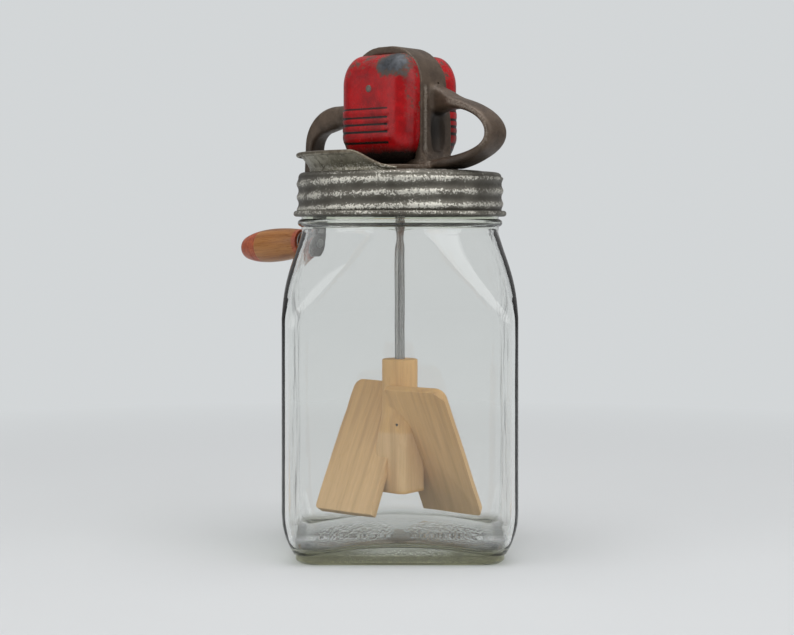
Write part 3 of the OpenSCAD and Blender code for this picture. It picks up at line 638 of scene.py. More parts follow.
jarPiece = drawn("jar_glass", 4 * (jar["flatCuts"] + jar["cornerCuts"]), len(jarRows) - 1, jarPlace)
softShade(jarPiece, 50)
pebbleLow, pebbleHigh = jar["pebbleZ"]
mark(jarPiece, "pebble", lambda p: pebbleShare(p.x, p.y) if pebbleLow < p.z < pebbleHigh else 0)
finished(jarPiece, "glass", "jar", "glass", "jar")
print("jar blown:", len(jarPiece.data.polygons), "faces")


# Screw lid: a pressed sheet with a raised panel, rolled thread ridges and a rolled rim
lid = {"valleyR": 66.2, "ridgeH": 1.2, "pitch": 8.5, "skirtZ": lidLow[2] + 1.9, "rimR": 1.9, "cornerR": 3,
       "rimOut": 1.3, "sheet": 0.6, "dent": 0.12, "dentAround": 6, "dentTall": 11, "around": 256,
       "pourIn": 43, "pourOut": 52.5, "pourHalf": 28, "spoutTurn": 78}


# Height of the rolled thread ridge as a share
def ridgeAt(angle, z):
    wind = (z - lid["skirtZ"]) / lid["pitch"] - (angle + math.pi / 2) / (2 * math.pi)
    crest = 0.5 - 0.5 * math.cos(2 * math.pi * wind)
    return crest ** 1.3 * between(z, lid["skirtZ"] + 0.4, lidZ - lid["cornerR"] + 1.2, 2.2, 2.2)


# Each row is (part, reach, height); a skirt row has its inset and a rim row its angle for the reach
lidRows = [("flat", r, panelZ) for r in (0, 12, 26, 38, 45, 50, 52.8, 53.5)]
lidRows += [("flat", 53.9, panelZ - 0.15), ("flat", 54.3, panelZ - 0.5), ("flat", 54.8, panelZ - 0.85),
            ("flat", 55.5, lidZ), ("flat", 59, lidZ), ("flat", 62, lidZ)]
for a in (8, 22, 38, 54, 70, 84):
    turn = math.radians(a)
    lidRows.append(("flat", lid["valleyR"] - lid["cornerR"] * (1 - math.sin(turn)),
                    lidZ - lid["cornerR"] * (1 - math.cos(turn))))
lidRows += [("skirt", 0, z) for z in spread(lidZ - lid["cornerR"] + 0.2, lid["skirtZ"] + 1.6, 52)]
lidRows += [("rim", a, 0) for a in range(120, -211, -22)]
lidRows += [("skirt", lid["sheet"], z) for z in spread(lid["skirtZ"] + 0.6, lidZ - 3.2, 30)]
lidUnder, panelUnder = lidZ - lid["sheet"], panelZ - lid["sheet"]
lidRows += [("flat", 64.6, lidZ - 1.3), ("flat", 62.5, lidUnder), ("flat", 55.2, lidUnder)]
lidRows += [("flat", r, panelUnder) for r in (53.8, 45, 20, 0)]


def lidPlace(u, v):
    part, first, z = lidRows[round(v * (len(lidRows) - 1))]
    angle = turnAt(u, lid["around"])
    spot = Vector(atAngle(lid["dentAround"], angle, z / lid["dentTall"]))
    if part == "flat":
        reach = first
    elif part == "rim":
        turn, roll = math.radians(first), lid["rimR"] - 0.02
        reach = lid["valleyR"] + lid["rimOut"] + roll * math.cos(turn)
        z = lid["skirtZ"] + roll * math.sin(turn)
    else:
        reach = lid["valleyR"] - first + lid["ridgeH"] * ridgeAt(angle, z) + lid["dent"] * noise.noise(spot)
    return atAngle(reach, angle, z)


lidPiece = drawn("lid_sheet", lid["around"], len(lidRows) - 1, lidPlace)


# The pouring hole is a sector of the panel
def sectorPlace(u, v):
    angle = math.radians(-90 - lid["spoutTurn"] + mixed(-lid["pourHalf"], lid["pourHalf"], u))
    corners = ((lid["pourIn"], -4), (lid["pourOut"], -4), (lid["pourOut"], 4), (lid["pourIn"], 4))
    reach, rise = corners[round(v * 4) % 4]
    return atAngle(reach, angle, panelZ + rise)


carve(lidPiece, capEnds(drawn("pour_cutter", 24, 4, sectorPlace)))
softShade(lidPiece, 35)


# The ridge crests are marked for painted glints, most towards the front, and the valleys are left for painted
# shade
def lidRidgeSheen(p):
    if p.z > lidZ - 2:
        return 0.35
    if p.z < lid["skirtZ"] + 1.5:
        return 0.6 if p.z > lid["skirtZ"] - 0.8 else 0.1
    front = 0.5 - 0.5 * p.y / math.hypot(p.x, p.y)
    return ridgeAt(math.atan2(p.y, p.x), p.z) * mixed(0.55, 1, front)


mark(lidPiece, "wearAndSheen", lidRidgeSheen)
finished(lidPiece, "lidTin", "lid", "dull_tin", "lid")
print("lid pressed:", len(lidPiece.data.polygons), "faces")


# Pouring spout: a flared sheet with a rolled lip, its ends sweeping down to the lid
spout = {"collarR": 58.5, "collarH": 2.4, "tall": 12.7, "flare": 7.5, "sheet": 0.7, "end": 76, "flat": 50,
         "roll": 1.1, "around": 96, "rise": 16, "rollCuts": 10}


def spoutReach(h):
    if h <= spout["collarH"]:
        return spout["collarR"]
    t = (h - spout["collarH"]) / (spout["tall"] - spout["collarH"])
    return spout["collarR"] + spout["flare"] * (0.4 * (1 - math.cos(math.pi / 2 * t)) + 0.6 * t)


def spoutEdge(swing):
    middle = spout["collarR"] + spout["flare"] / 2
    flat, end = (middle * math.sin(math.radians(spout[k])) for k in ("flat", "end"))
    side = middle * math.sin(abs(swing))
    return (spout["tall"] - 0.75) * (1 - 0.88 * smooth((side - flat) / (end - flat))) + 0.1


def spoutPlace(u, v):
    swing = math.radians(mixed(-spout["end"], spout["end"], u))
    angle = math.radians(-90 - lid["spoutTurn"]) + swing
    edge = spoutEdge(swing)
    row = round(v * (spout["rise"] + spout["rollCuts"]))
    if row <= spout["rise"]:
        h = edge * row / spout["rise"]
        reach = spoutReach(h)
    else:
        # The lip rolls outwards and under
        roll = spout["roll"] * smooth(edge / 3)
        slope = math.atan2(0.5, spoutReach(edge) - spoutReach(max(edge - 0.5, 0)) + 0.001)
        turn = slope + math.pi / 2 - (row - spout["rise"]) / spout["rollCuts"] * math.radians(290)
        middleR = spoutReach(edge) + roll * math.cos(slope - math.pi / 2)
        middleH = edge + roll * math.sin(slope - math.pi / 2)
        reach, h = middleR + roll * math.cos(turn), middleH + roll * math.sin(turn)
    return atAngle(reach, angle, lidZ + max(h, 0))


spoutPiece = drawn("spout_sheet", spout["around"], spout["rise"] + spout["rollCuts"], spoutPlace)
applied(spoutPiece, 'SOLIDIFY', thickness=spout["sheet"] * mm, offset=0)
softShade(spoutPiece, 50)


def spoutLip(p):
    swing = math.atan2(p.y, p.x) - math.radians(-90 - lid["spoutTurn"])
    swing = (swing + math.pi) % (2 * math.pi) - math.pi
    return smooth((p.z - lidZ - spoutEdge(swing) + 2.2) / 1.6)


mark(spoutPiece, "lip", spoutLip)
mark(spoutPiece, "foot", lambda p: smooth((lidZ + 5.5 - p.z) / 2.5))
finished(spoutPiece, "spoutTin", "lid", "bright_tin", "spout")
print("spout flared")


# Edges are chosen by the places of their two ends
def pickEdges(piece, wanted):
    pick(piece)
    bpy.context.tool_settings.mesh_select_mode = (False, True, False)
    bpy.ops.object.mode_set(mode='EDIT')
    bpy.ops.mesh.select_all(action='DESELECT')
    bpy.ops.object.mode_set(mode='OBJECT')
    for edge in piece.data.edges:
        a, b = (piece.data.vertices[i].co / mm for i in edge.vertices)
        edge.select = wanted(a, b)
    bpy.ops.object.mode_set(mode='EDIT')


def block(name, low, high):
    clearPick()
    middle = [(a + b) / 2 * mm for a, b in zip(low, high)]
    bpy.ops.mesh.primitive_cube_add(size=1, location=middle)
    piece = named(name)
    piece.scale = [(b - a) * mm for a, b in zip(low, high)]
    return settle(piece)


def roundTop(piece, reach, segments):
    top = max(v.co.z for v in piece.data.vertices) / mm
    pickEdges(piece, lambda a, b: min(a.z, b.z) > top - 0.01 and abs(a.x - b.x) < 0.01)
    bpy.ops.mesh.bevel(offset=reach * mm, segments=segments, affect='EDGES')
    bpy.ops.object.mode_set(mode='OBJECT')
    return piece


# A bar drawn along stations in the head's x and z: (middle, normal, half width, half thickness, squareness)
def swept(name, stations, around=36):
    rows = len(stations) + 1

    def place(u, v):
        row = round(v * rows)
        middle, normal, wide, thick, power = stations[min(max(row - 1, 0), len(stations) - 1)]
        if row in (0, rows):
            return middle[0], 0, middle[1]
        turn = turnAt(u, around)
        c, s = math.cos(turn), math.sin(turn)
        y = wide * math.copysign(abs(c) ** (2 / power), c)
        n = thick * math.copysign(abs(s) ** (2 / power), s)
        return middle[0] + n * normal[0], y, middle[1] + n * normal[1]

    return drawn(name, around, rows, place)


def disc(name, reach, low, high):
    clearPick()
    bpy.ops.mesh.primitive_cylinder_add(vertices=96, radius=reach * mm, depth=(high - low) * mm,
                                        location=(0, 0, (low + high) / 2 * mm))
    return settle(named(name))


def rod(name, reach, start, end, vertices=64):
    clearPick()
    a, b = Vector(start) * mm, Vector(end) * mm
    aimed = (b - a).to_track_quat('Z', 'Y').to_euler()
    bpy.ops.mesh.primitive_cylinder_add(vertices=vertices, radius=reach * mm, depth=(b - a).length,
                                        location=(a + b) / 2, rotation=aimed)
    return settle(named(name))


# Cast band: blocks and bars joined, then remeshed so that every corner gets a casting's fillet
band = {"wide": 61, "thick": 31, "wall": 5.5, "cornerR": 26, "seat": 251.8, "footR": 38, "footT": 3.5,
        "top": bandHigh[2], "dishOut": 1.2, "dishAt": (2, 268.5), "dishReach": (4.6, 7.4, 17), "voxel": 0.8,
        "soften": 10, "handleOut": ((29, 11.5), (77.6, 9), (107.6, -24), (46.5, -36.8)),
        "handleIn": ((30, 1.74), (75.7, 6.24), (98.5, -26), (38.8, -31.8)), "rootBack": 1.8,
        "strap": 9.8, "skirt": (37, 30, 257), "oilHole": (1.5, 18.7, 0.8), "boreR": 6.02,
        "bossR": 9, "bossX": (25, 22), "shadeAt": (2, 271), "shadeReach": (7, 8.5, 17),
        "backEdge": ((285, 15.5), (299.7, 11.2), (310.6, 10), (317.6, 9), (330, 8.6))}
side = band["wide"] / 2
frontY = band["thick"] / 2

arch = roundTop(block("arch", (-side, -frontY, panelZ), (side, frontY, band["top"])), band["cornerR"], 20)
hollow = block("hollow", (band["wall"] - side, -30, band["seat"]),
               (side - band["wall"], 30, band["top"] - band["wall"]))
carve(arch, roundTop(hollow, band["cornerR"] - band["wall"], 20))
clearPick()
bpy.ops.mesh.primitive_uv_sphere_add(segments=64, ring_count=40, radius=mm, location=(
    (side + band["dishOut"]) * mm, band["dishAt"][0] * mm, band["dishAt"][1] * mm))
dish = named("dish")
dish.scale = band["dishReach"]
carve(arch, settle(dish))
loop = []
for i in range(49):
    t = i / 48
    (ox, oz), (ix, iz) = curvePoint(band["handleOut"], t), curvePoint(band["handleIn"], t)
    # The root spreads up and down the band, and the lower run thickens towards the foot
    root = smooth(1 - t / 0.16)
    oz, iz = oz + 6 * root, iz - 3 * root + 2 * smooth((t - 0.6) / 0.3)
    length = math.hypot(ox - ix, oz - iz)
    wide = band["strap"] * (1 - 0.2 * root + 0.3 * smooth((t - 0.85) / 0.15))
    loop.append((((ox + ix) / 2, shaftZ + (oz + iz) / 2), ((ox - ix) / length, (oz - iz) / length),
                 wide, length / 2, 3.6))
loop.append(((31, panelZ + 3), loop[-1][1], 13, 3, 3.6))
handle = swept("handle", loop)
for vert in handle.data.vertices:
    x, z = vert.co.x / mm, vert.co.z / mm - shaftZ
    vert.co.y += band["rootBack"] * mm * smooth((48 - x) / 14) * smooth((z + 20) / 14)
foot = disc("foot", band["footR"], panelZ, panelZ + band["footT"])
outX, inX, skirtTop = band["skirt"]
skirt = block("skirt", (-outX, -frontY + 1, panelZ + 1), (outX, frontY - 1, skirtTop))
for vert in skirt.data.vertices:
    if vert.co.z > (skirtTop - 1) * mm:
        vert.co.x *= inX / outX
bossOut, bossIn = band["bossX"]
bosses = [rod("boss", band["bossR"], (s * bossOut, 0, shaftZ), (s * bossIn, 0, shaftZ)) for s in (-1, 1)]
bandPiece = joined("cast_band", arch, handle, foot, *bosses)
carve(skirt, block("skirt_hollow", (band["wall"] - side, -30, band["seat"]), (side - band["wall"], 30, 300)))
bandPiece = joined("cast_band", bandPiece, skirt)
applied(bandPiece, 'REMESH', mode='VOXEL', voxel_size=band["voxel"] * mm, adaptivity=0)
applied(bandPiece, 'SMOOTH', factor=0.5, iterations=band["soften"])
# The handle's root flows into the band
rootGroup = bandPiece.vertex_groups.new(name="root")
rootSpot = Vector((side + 1, band["rootBack"], shaftZ + 8))
for vert in bandPiece.data.vertices:
    rootGroup.add([vert.index], smooth((20 - (vert.co / mm - rootSpot).length) / 9), 'REPLACE')
applied(bandPiece, 'SMOOTH', factor=0.5, iterations=60, vertex_group="root")


# The casting's draft: its back edge steps in towards the top
def bandDraft(p):
    if p.y <= 0:
        return p
    reach = frontY
    for (lowZ, low), (highZ, high) in zip(band["backEdge"], band["backEdge"][1:]):
        if p.z > lowZ:
            reach = mixed(low, high, min(1, (p.z - lowZ) / (highZ - lowZ)))
    return Vector((p.x, p.y * mixed(1, reach / frontY, smooth((40 - abs(p.x)) / 7)), p.z))


for vert in bandPiece.data.vertices:
    vert.co = bandDraft(vert.co / mm) * mm
holeY, holeUp, holeR = band["oilHole"]
holeZ = shaftZ + holeUp
carve(bandPiece, rod("oil", holeR, (side - 6, holeY, holeZ), (side + 3, holeY, holeZ), 24))
for start, end in ((-side * 0.6, -side * 1.2), (side * 0.6, side - 4)):
    carve(bandPiece, rod("bore", band["boreR"], (start, 0, shaftZ), (end, 0, shaftZ), 48))
softShade(bandPiece, 60)


# Painted shade darkens the dish under the handle, the band under the handle's root and the low run along the
# foot
def bandShade(p):
    away = awayFrom(p, (side, *band["shadeAt"]), band["shadeReach"])
    dished = smooth((1.25 - away) / 0.85) if p.x > 22 else 0
    under = between(p.z, 264, 286, 10, 6) * between(p.x, 29, 43, 3, 7) * smooth((p.y + 8) / 4)
    lowRun = 0.5 * smooth((p.x - 42) / 10) * smooth((262 - p.z) / 12)
    return min(1, 0.95 * dished + 0.5 * under + lowRun)


# The front edge strip is rubbed from top to foot and carries a painted highlight, and a patch low by the foot
# is lightened too
def bandRubAndSheen(p):
    front = smooth(1 - abs(p.y + frontY - 4.5) / 4.5) * smooth((p.x - 26) / 3) * smooth((p.z - 254) / 6)
    low = smooth((262 - p.z) / 8) * between(p.x, 24, 40, 6, 4)
    return 0.62 * front * smooth((303 - p.z) / 6) + 0.4 * low


mark(bandPiece, "paintedShade", bandShade)
mark(bandPiece, "rubAndSheen", bandRubAndSheen)
settle(bandPiece, headTurn)
finished(bandPiece, "casting", "lid", "dark_casting", "frame")
print("band cast:", len(bandPiece.data.polygons), "faces")


# Red covers: a block subdivided, rounded over and pressed with four ribs between five grooves
cover = {"half": 29.5, "low": 249, "high": 319.5, "deep": 15.4, "rounds": (14, 14, 20), "crown": 0.5,
         "sheet": 0.9, "cuts": 116, "grooves": (262, 268.9, 273.6, 278.1, 283.8), "ribProud": 0.75,
         "ribRight": 17, "ribEnd": 5, "frontInner": 4, "backInner": 7.5, "patchAt": (16, -28, 310),
         "patchReach": (12, 14, 15)}


# Height of the pressed ribs as a share: half round across, with rounded right ends
def ribRise(x, z):
    for low, high in zip(cover["grooves"], cover["grooves"][1:]):
        if low <= z <= high:
            across = 2 * (z - low) / (high - low) - 1
            end = max(0, x - cover["ribRight"] + cover["ribEnd"]) / cover["ribEnd"]
            return math.sqrt(max(0, 1 - across ** 2 - end ** 2))
    return 0


# Rounds the block over, crowns its face and lifts the ribs
def coverForm(p):
    tall = (cover["high"] - cover["low"]) / 2
    half = (cover["half"], cover["deep"], tall)
    local = (p.x, p.y + frontY, p.z - cover["low"] - tall)
    core = [min(max(c, r - h), h - r) for c, h, r in zip(local, half, cover["rounds"])]
    lift = Vector([(c - k) / r for c, k, r in zip(local, core, cover["rounds"])])
    if lift.length > 0:
        lift = lift.normalized()
    made = Vector([k + l * r for k, l, r in zip(core, lift, cover["rounds"])])
    face = smooth((-made.y - cover["deep"] + 3) / 3)
    made.y -= face * cover["crown"] * (1 - (made.x / half[0]) ** 2) * (1 - (made.z / half[2]) ** 2)
    z = made.z + cover["low"] + tall
    if lift.y < -0.1:
        # The ribs run off round the left side
        swing = math.atan2(-lift.x, -lift.y)
        rise = cover["ribProud"] * ribRise(made.x, z) * smooth((1.2 - swing) / 0.6)
        made.x -= rise * math.sin(swing)
        made.y -= rise * math.cos(swing)
    return made.x, made.y - frontY, z


# Paint is rubbed off along the top, down both roundings and in one patch
def coverWear(p):
    top = smooth((p.z - 301) / 12) * 0.30
    away = awayFrom(p, cover["patchAt"], cover["patchReach"])
    left = smooth((-p.x - 8) / 10) * smooth((p.z - 296) / 10) * 0.27
    right = smooth((p.x - 21) / 6) * smooth((p.z - 258) / 20) * 0.25
    return max(top, left, right) + 0.33 * smooth((1.35 - away) / 1.1)


# Painted shade darkens the foot, the left side and the grooves
def coverShade(p):
    low = 0.75 * smooth((263 - p.z) / 11) + 0.11 * smooth((290 - p.z) / 24)
    left = 0.3 * smooth((-p.x - 16) / 9) * smooth((290 - p.z) / 20)
    line = min(abs(p.z - z) for z in cover["grooves"])
    groove = 0.85 * smooth(1 - line / 1.2) if p.x < cover["ribRight"] - 1.5 else 0
    return min(1, low + left + groove)


# A painted highlight runs down the right rounding as a pale pink sheen, and a chalky bloom lies over the left
# half of the face
def coverBloomAndSheen(p):
    right = 0.14 * smooth(1 - abs(p.x - 17) / 8) * smooth((p.z - 256) / 10)
    left = 0.07 * smooth((4 - p.x) / 14) * smooth((p.z - 262) / 20)
    return right + left


def pressCover(name, inner):
    piece = block(name, (-cover["half"], -frontY - cover["deep"], cover["low"]),
                  (cover["half"], -frontY + cover["deep"], cover["high"]))
    openUp(piece)
    bpy.ops.mesh.subdivide(number_cuts=cover["cuts"])
    bpy.ops.object.mode_set(mode='OBJECT')
    for vert in piece.data.vertices:
        vert.co = Vector(coverForm(vert.co / mm)) * mm
    cutOff(piece, (0, inner - frontY, 0), (0, 1, 0), False)
    closeUp(piece)
    mark(piece, "wearAndSheen", coverWear)
    mark(piece, "paintedShade", coverShade)
    mark(piece, "bloomAndSheen", coverBloomAndSheen)
    applied(piece, 'SOLIDIFY', thickness=cover["sheet"] * mm, offset=-1)
    return softShade(piece, 45)


frontCover = pressCover("front_cover_red", cover["frontInner"])
backCover = settle(pressCover("back_cover_red", cover["backInner"]), math.pi)
for piece, nodeName in ((frontCover, "front_cover"), (backCover, "back_cover")):
    settle(piece, headTurn)
    finished(piece, "red", "lid", "red_paint", nodeName)
print("covers pressed:", len(frontCover.data.polygons), "faces each")


# Rivet: a turned stem with a low domed head at each cover
rivet = {"z": shaftZ + 14.7, "stem": 1.7, "head": 2.4, "dome": 0.45, "face": 31.45, "sunk": 0.3,
         "rows": 18, "around": 32}


def rivetPlace(u, v):
    row = round(v * rivet["rows"])
    turn = turnAt(u, rivet["around"])
    swing = math.pi / 2 * min(row, rivet["rows"] - row) / 6
    seat = rivet["face"] - rivet["sunk"]
    if row <= 6 or row >= 12:
        reach = rivet["head"] * math.sin(swing)
        out = seat + (rivet["dome"] + rivet["sunk"]) * math.cos(swing)
    else:
        reach = rivet["stem"]
        out = seat if row in (7, 11) else rivet["face"] - 6 if row in (8, 10) else 0
    y = -out if row < 9 else out
    return reach * math.cos(turn), y, rivet["z"] + reach * math.sin(turn)


rivetPiece = drawn("cover_rivet_head", rivet["around"], rivet["rows"], rivetPlace)
softShade(rivetPiece, 40)
settle(rivetPiece, headTurn)
finished(rivetPiece, "rivet", "lid", "bare_steel", "cover_rivet")
print("rivet set")


# Crank arm: a round boss that bends down into a flat strap, cast in one with the grip's boss
crank = {"hubStart": 30.9, "hubEnd": 50, "hubR": 8.2, "neckR": 7.6, "neckLow": 10.3, "reach": 78.6,
         "splay": 3.4, "throw": 83.8, "outerR": 26, "innerR": 12, "halfW": 7.25, "strap": 6.2, "endR": 8.1,
         "bossR": 6.75, "bossH": 2.5, "droop": math.radians(4.5), "voxel": 0.6, "soften": 4}


def onArc(middle, reach, degrees):
    turn = math.radians(degrees)
    return middle[0] + reach * math.cos(turn), middle[1] + reach * math.sin(turn)


# A station of the arm between a point on its outside and one on its inside
def station(outer, inner, wide, power):
    length = math.hypot(outer[0] - inner[0], outer[1] - inner[1])
    middle = ((outer[0] + inner[0]) / 2, shaftZ + (outer[1] + inner[1]) / 2)
    return middle, ((outer[0] - inner[0]) / length, (outer[1] - inner[1]) / length), wide, length / 2, power


armLine = []
for i in range(9):
    x = -mixed(crank["hubStart"], crank["hubEnd"], i / 8)
    reach = crank["hubR"] - (0.7 if i == 0 else 0) - 0.6 * smooth((i - 5) / 3)
    armLine.append(station((x, reach), (x, -reach), mixed(reach, crank["halfW"], smooth((i - 4) / 4)), 2.1))
outerMiddle = (crank["outerR"] - crank["reach"], crank["neckR"] - crank["outerR"])
innerMiddle = (crank["strap"] + crank["innerR"] - crank["reach"], -crank["neckLow"] - crank["innerR"])
for i in range(1, 15):
    turn = 90 + 90 * i / 14
    outer = onArc(outerMiddle, crank["outerR"], turn)
    inner = onArc(innerMiddle, crank["innerR"], turn)
    armLine.append(station(outer, inner, crank["halfW"], mixed(2.4, 5, i / 14)))
for i in range(1, 13):
    t = i / 12
    outX = mixed(-crank["reach"], -crank["reach"] - crank["splay"], t)
    outZ, inZ = mixed(outerMiddle[1], -crank["throw"], t), mixed(innerMiddle[1], -crank["throw"], t)
    armLine.append(station((outX, outZ), (outX + crank["strap"], inZ), crank["halfW"], 5))
for i in range(1, 8):
    turn = math.pi / 2 * i / 7
    z = -crank["throw"] - crank["endR"] * math.sin(turn)
    outX = -crank["reach"] - crank["splay"]
    wide = max(crank["halfW"] * math.cos(turn), 1.2)
    armLine.append(station((outX, z), (outX + crank["strap"], z), wide, 5))
gripStart = Vector((-crank["reach"] - crank["splay"], 0, shaftZ - crank["throw"]))
gripAxis = Vector((-math.cos(crank["droop"]), 0, -math.sin(crank["droop"])))
gripBoss = rod("grip_boss", crank["bossR"], gripStart - gripAxis * 2, gripStart + gripAxis * crank["bossH"])
armPiece = joined("crank_arm_cast", swept("arm", armLine), gripBoss)
applied(armPiece, 'REMESH', mode='VOXEL', voxel_size=crank["voxel"] * mm, adaptivity=0)
applied(armPiece, 'SMOOTH', factor=0.5, iterations=crank["soften"])
softShade(armPiece, 60)
# Painted shade darkens the arm below the shaft, and a painted highlight lightens its top
mark(armPiece, "paintedShade", lambda p: 0.55 * smooth((shaftZ - 6 - p.z) / 22))
mark(armPiece, "rubAndSheen", lambda p: 0.3 * smooth((p.z - shaftZ - 2) / 5))
settle(armPiece, headTurn)
finished(armPiece, "casting", "crank", "dark_casting", "crank_arm")
print("crank arm cast:", len(armPiece.data.polygons), "faces")


# Turned grip, fullest past its middle, with three scribed lines and a dipped tip
grip = {"start": 3.8, "long": 57, "across": 22.6, "nose": 4.52, "lines": (38.4, 40.4, 42.4), "lineDepth": 0.3,
        "tipFrom": 37.6, "rootTo": 4, "around": 64}
gripR = grip["across"] / 2
noseAt = grip["long"] - grip["nose"]
gripBody = ((0.78 * gripR, 0), (1.02 * gripR, 0.25 * grip["long"]), (1.2 * gripR, 0.66 * grip["long"]),
            (0.7 * gripR, noseAt))
gripNose = ((0.7 * gripR, noseAt), (0.58 * gripR, grip["long"] - grip["nose"] / 3),
            (0.35 * gripR, grip["long"]), (0, grip["long"]))
gripRows = [(0, 0.4), (3.2, 0.4), (5.8, 0.0)]
gripRows += [curvePoint(gripBody, i / 90) for i in range(1, 91)]
gripRows += [curvePoint(gripNose, i / 12) for i in range(1, 13)]
acrossA = Vector((0, 1, 0))
acrossB = gripAxis.cross(acrossA)


def gripPlace(u, v):
    reach, along = gripRows[round(v * (len(gripRows) - 1))]
    turn = turnAt(u, grip["around"])
    for line in grip["lines"]:
        reach -= grip["lineDepth"] * max(0, 1 - ((along - line) / 0.7) ** 2)
    outward = acrossA * math.cos(turn) + acrossB * math.sin(turn)
    return gripStart + gripAxis * (grip["start"] + along) + outward * max(reach, 0)


def alongGrip(p):
    return (p - gripStart).dot(gripAxis) - grip["start"]


# Red stain on the tip and the root
def gripStain(p):
    along = alongGrip(p)
    return 0.75 * smooth((along - grip["tipFrom"] + 2) / 4) + 0.75 * smooth((grip["rootTo"] + 2 - along) / 4)


def gripGrain(p):
    return Vector((p.y, (p - gripStart).dot(acrossB), alongGrip(p))) * mm


gripPiece = drawn("crank_grip_turned", grip["around"], len(gripRows) - 1, gripPlace)
softShade(gripPiece, 50)
mark(gripPiece, "red", gripStain)
mark(gripPiece, "grain", gripGrain, 'FLOAT_VECTOR')
settle(gripPiece, headTurn)
finished(gripPiece, "gripWood", "grip", "grip_wood", "crank_grip")
print("grip turned")


# Dasher: a hub worked from a square stick to a round neck, and two pitched boards
dasher = {"turn": math.radians(-38), "square": 12.5, "roundR": 15.5, "neckR": 11.5, "low": 36.7,
          "coneLow": 66, "coneHigh": 88, "high": 122.5, "boardX": (0.3, 47.3), "boardTop": 103.5,
          "boardLow": 22.2, "boardT": 6.2, "lead": 3.7, "pitch": math.radians(27.5), "topCorner": 6.5,
          "lowCorner": 2.5, "edge": 0.6, "rightSkew": 2.6, "rightChip": ((44.6, 42.6, -1), (0.55, 0.75, 0.4)),
          "stainLow": 39, "stainHigh": 74, "around": 144}


# The hub is square with rounded corners below, and a cone narrows it to its neck
def hubReach(angle, z):
    share = (z - dasher["coneLow"]) / (dasher["coneHigh"] - dasher["coneLow"])
    cone = mixed(dasher["roundR"], dasher["neckR"], share)
    limit = dasher["roundR"] if z < dasher["coneLow"] else max(cone, dasher["neckR"])
    reach = softLess(squareReach(angle - dasher["turn"], dasher["square"], 0.8), limit, 1.2)
    return max(reach, dasher["neckR"]) if z > dasher["coneLow"] else reach


hubLow, hubHigh = dasher["low"], dasher["high"]
hubRows = [(hubLow, 0), (hubLow, 0.5), (hubLow, 0.955), (hubLow + 0.15, 0.985), (hubLow + 0.6, 1)]
hubRows += [(z, 1) for z in spread(hubLow + 0.6, dasher["coneLow"], 14)]
hubRows += [(z, 1) for z in spread(dasher["coneLow"], dasher["coneHigh"], 16)]
hubRows += [(z, 1) for z in spread(dasher["coneHigh"], hubHigh - 0.8, 8)]
hubRows += [(hubHigh - 0.3, 0.98), (hubHigh, 0.94), (hubHigh, 0.5), (hubHigh, 0)]


def hubPlace(u, v):
    z, share = hubRows[round(v * (len(hubRows) - 1))]
    angle = turnAt(u, dasher["around"])
    reach = hubReach(angle, z) * share
    return atAngle(reach, angle, z)


# The dasher's wood is stained from a height upwards
def highStain(p):
    return 0.75 * smooth((p.z - dasher["stainHigh"]) / 2.5)


hubPiece = drawn("dasher_hub_block", dasher["around"], len(hubRows) - 1, hubPlace)
softShade(hubPiece, 35)
mark(hubPiece, "grain", lambda p: p * mm, 'FLOAT_VECTOR')
mark(hubPiece, "warmth", lambda p: highStain(p) + 0.9 * smooth((dasher["stainLow"] - p.z) / 2))
finished(hubPiece, "dasherWood", "dasher", "pale_wood", "dasher_hub")

boardMid = (dasher["boardTop"] + dasher["boardLow"]) / 2
boardHalf = (dasher["boardTop"] - dasher["boardLow"]) / 2 / math.cos(dasher["pitch"])
intoPlace = (Matrix.Rotation(dasher["turn"], 4, 'Z') @ Matrix.Translation((0, dasher["lead"], boardMid))
             @ Matrix.Rotation(math.pi / 2 + dasher["pitch"], 4, 'X'))


def sawBoard(name, halfTurn, grainShift, skew=0, chip=None):
    low, high = dasher["boardX"]
    piece = block(name, (low, -boardHalf, -dasher["boardT"]), (high, boardHalf, 0))
    # The outer end is sawn at a slant
    for vert in piece.data.vertices:
        if vert.co.x > (high - 1) * mm and vert.co.z < -mm:
            vert.co.x -= skew * mm
    for v, corner in ((boardHalf, dasher["topCorner"]), (-boardHalf, dasher["lowCorner"])):
        pickEdges(piece, lambda a, b: (min(a.x, b.x) > high - skew - 0.01
                                       and abs(a.y - v) < 0.01 and abs(b.y - v) < 0.01))
        bpy.ops.mesh.bevel(offset=corner * mm, segments=10, affect='EDGES')
        bpy.ops.object.mode_set(mode='OBJECT')
    if chip:
        cutOff(piece, *chip, True)
    applied(piece, 'BEVEL', width=dasher["edge"] * mm, segments=3, limit_method='ANGLE')
    softShade(piece, 35)
    mark(piece, "grain", lambda p: Vector((p.x + grainShift, p.z, p.y)) * mm, 'FLOAT_VECTOR')
    placed = Matrix.Scale(mm, 4) @ intoPlace @ Matrix.Scale(1 / mm, 4)
    piece.data.transform(Matrix.Rotation(halfTurn, 4, 'Z') @ placed)
    mark(piece, "warmth", highStain)
    return finished(piece, "dasherWood", "dasher", "pale_wood", name.replace("_board", ""))


sawBoard("paddle_right_board", 0, 0, dasher["rightSkew"], dasher["rightChip"])
sawBoard("paddle_left_board", math.pi, 40)
print("dasher joined")


# Nodes that keep their shape from the frame
keptNodes = {
    "rubber": ("lid_gasket",),
    "spoutTin": ("strainer_screen",),
    "casting": ("drive_gear", "pinion"),
    "steel": ("frame_rivets", "crank_shaft", "gear_pin", "shaft_collar", "collar_pin", "arm_pin", "grip_pin",
              "grip_washer", "thrust_washer", "pinion_pin", "rod_collar", "rod_collar_pin", "hub_pin"),
    "brass": ("crank_bush_left", "crank_bush_right", "rod_bush"),
    "rodSteel": ("dasher_rod",),
    "nailIron": ("paddle_nails",),
}
for finish, nodeNames in keptNodes.items():
    for nodeName in nodeNames:
        mesh = frame["nodes"][nodeName].data
        mesh.materials.clear()
        mesh.materials.append(finishes[finish])
print("kept nodes finished")


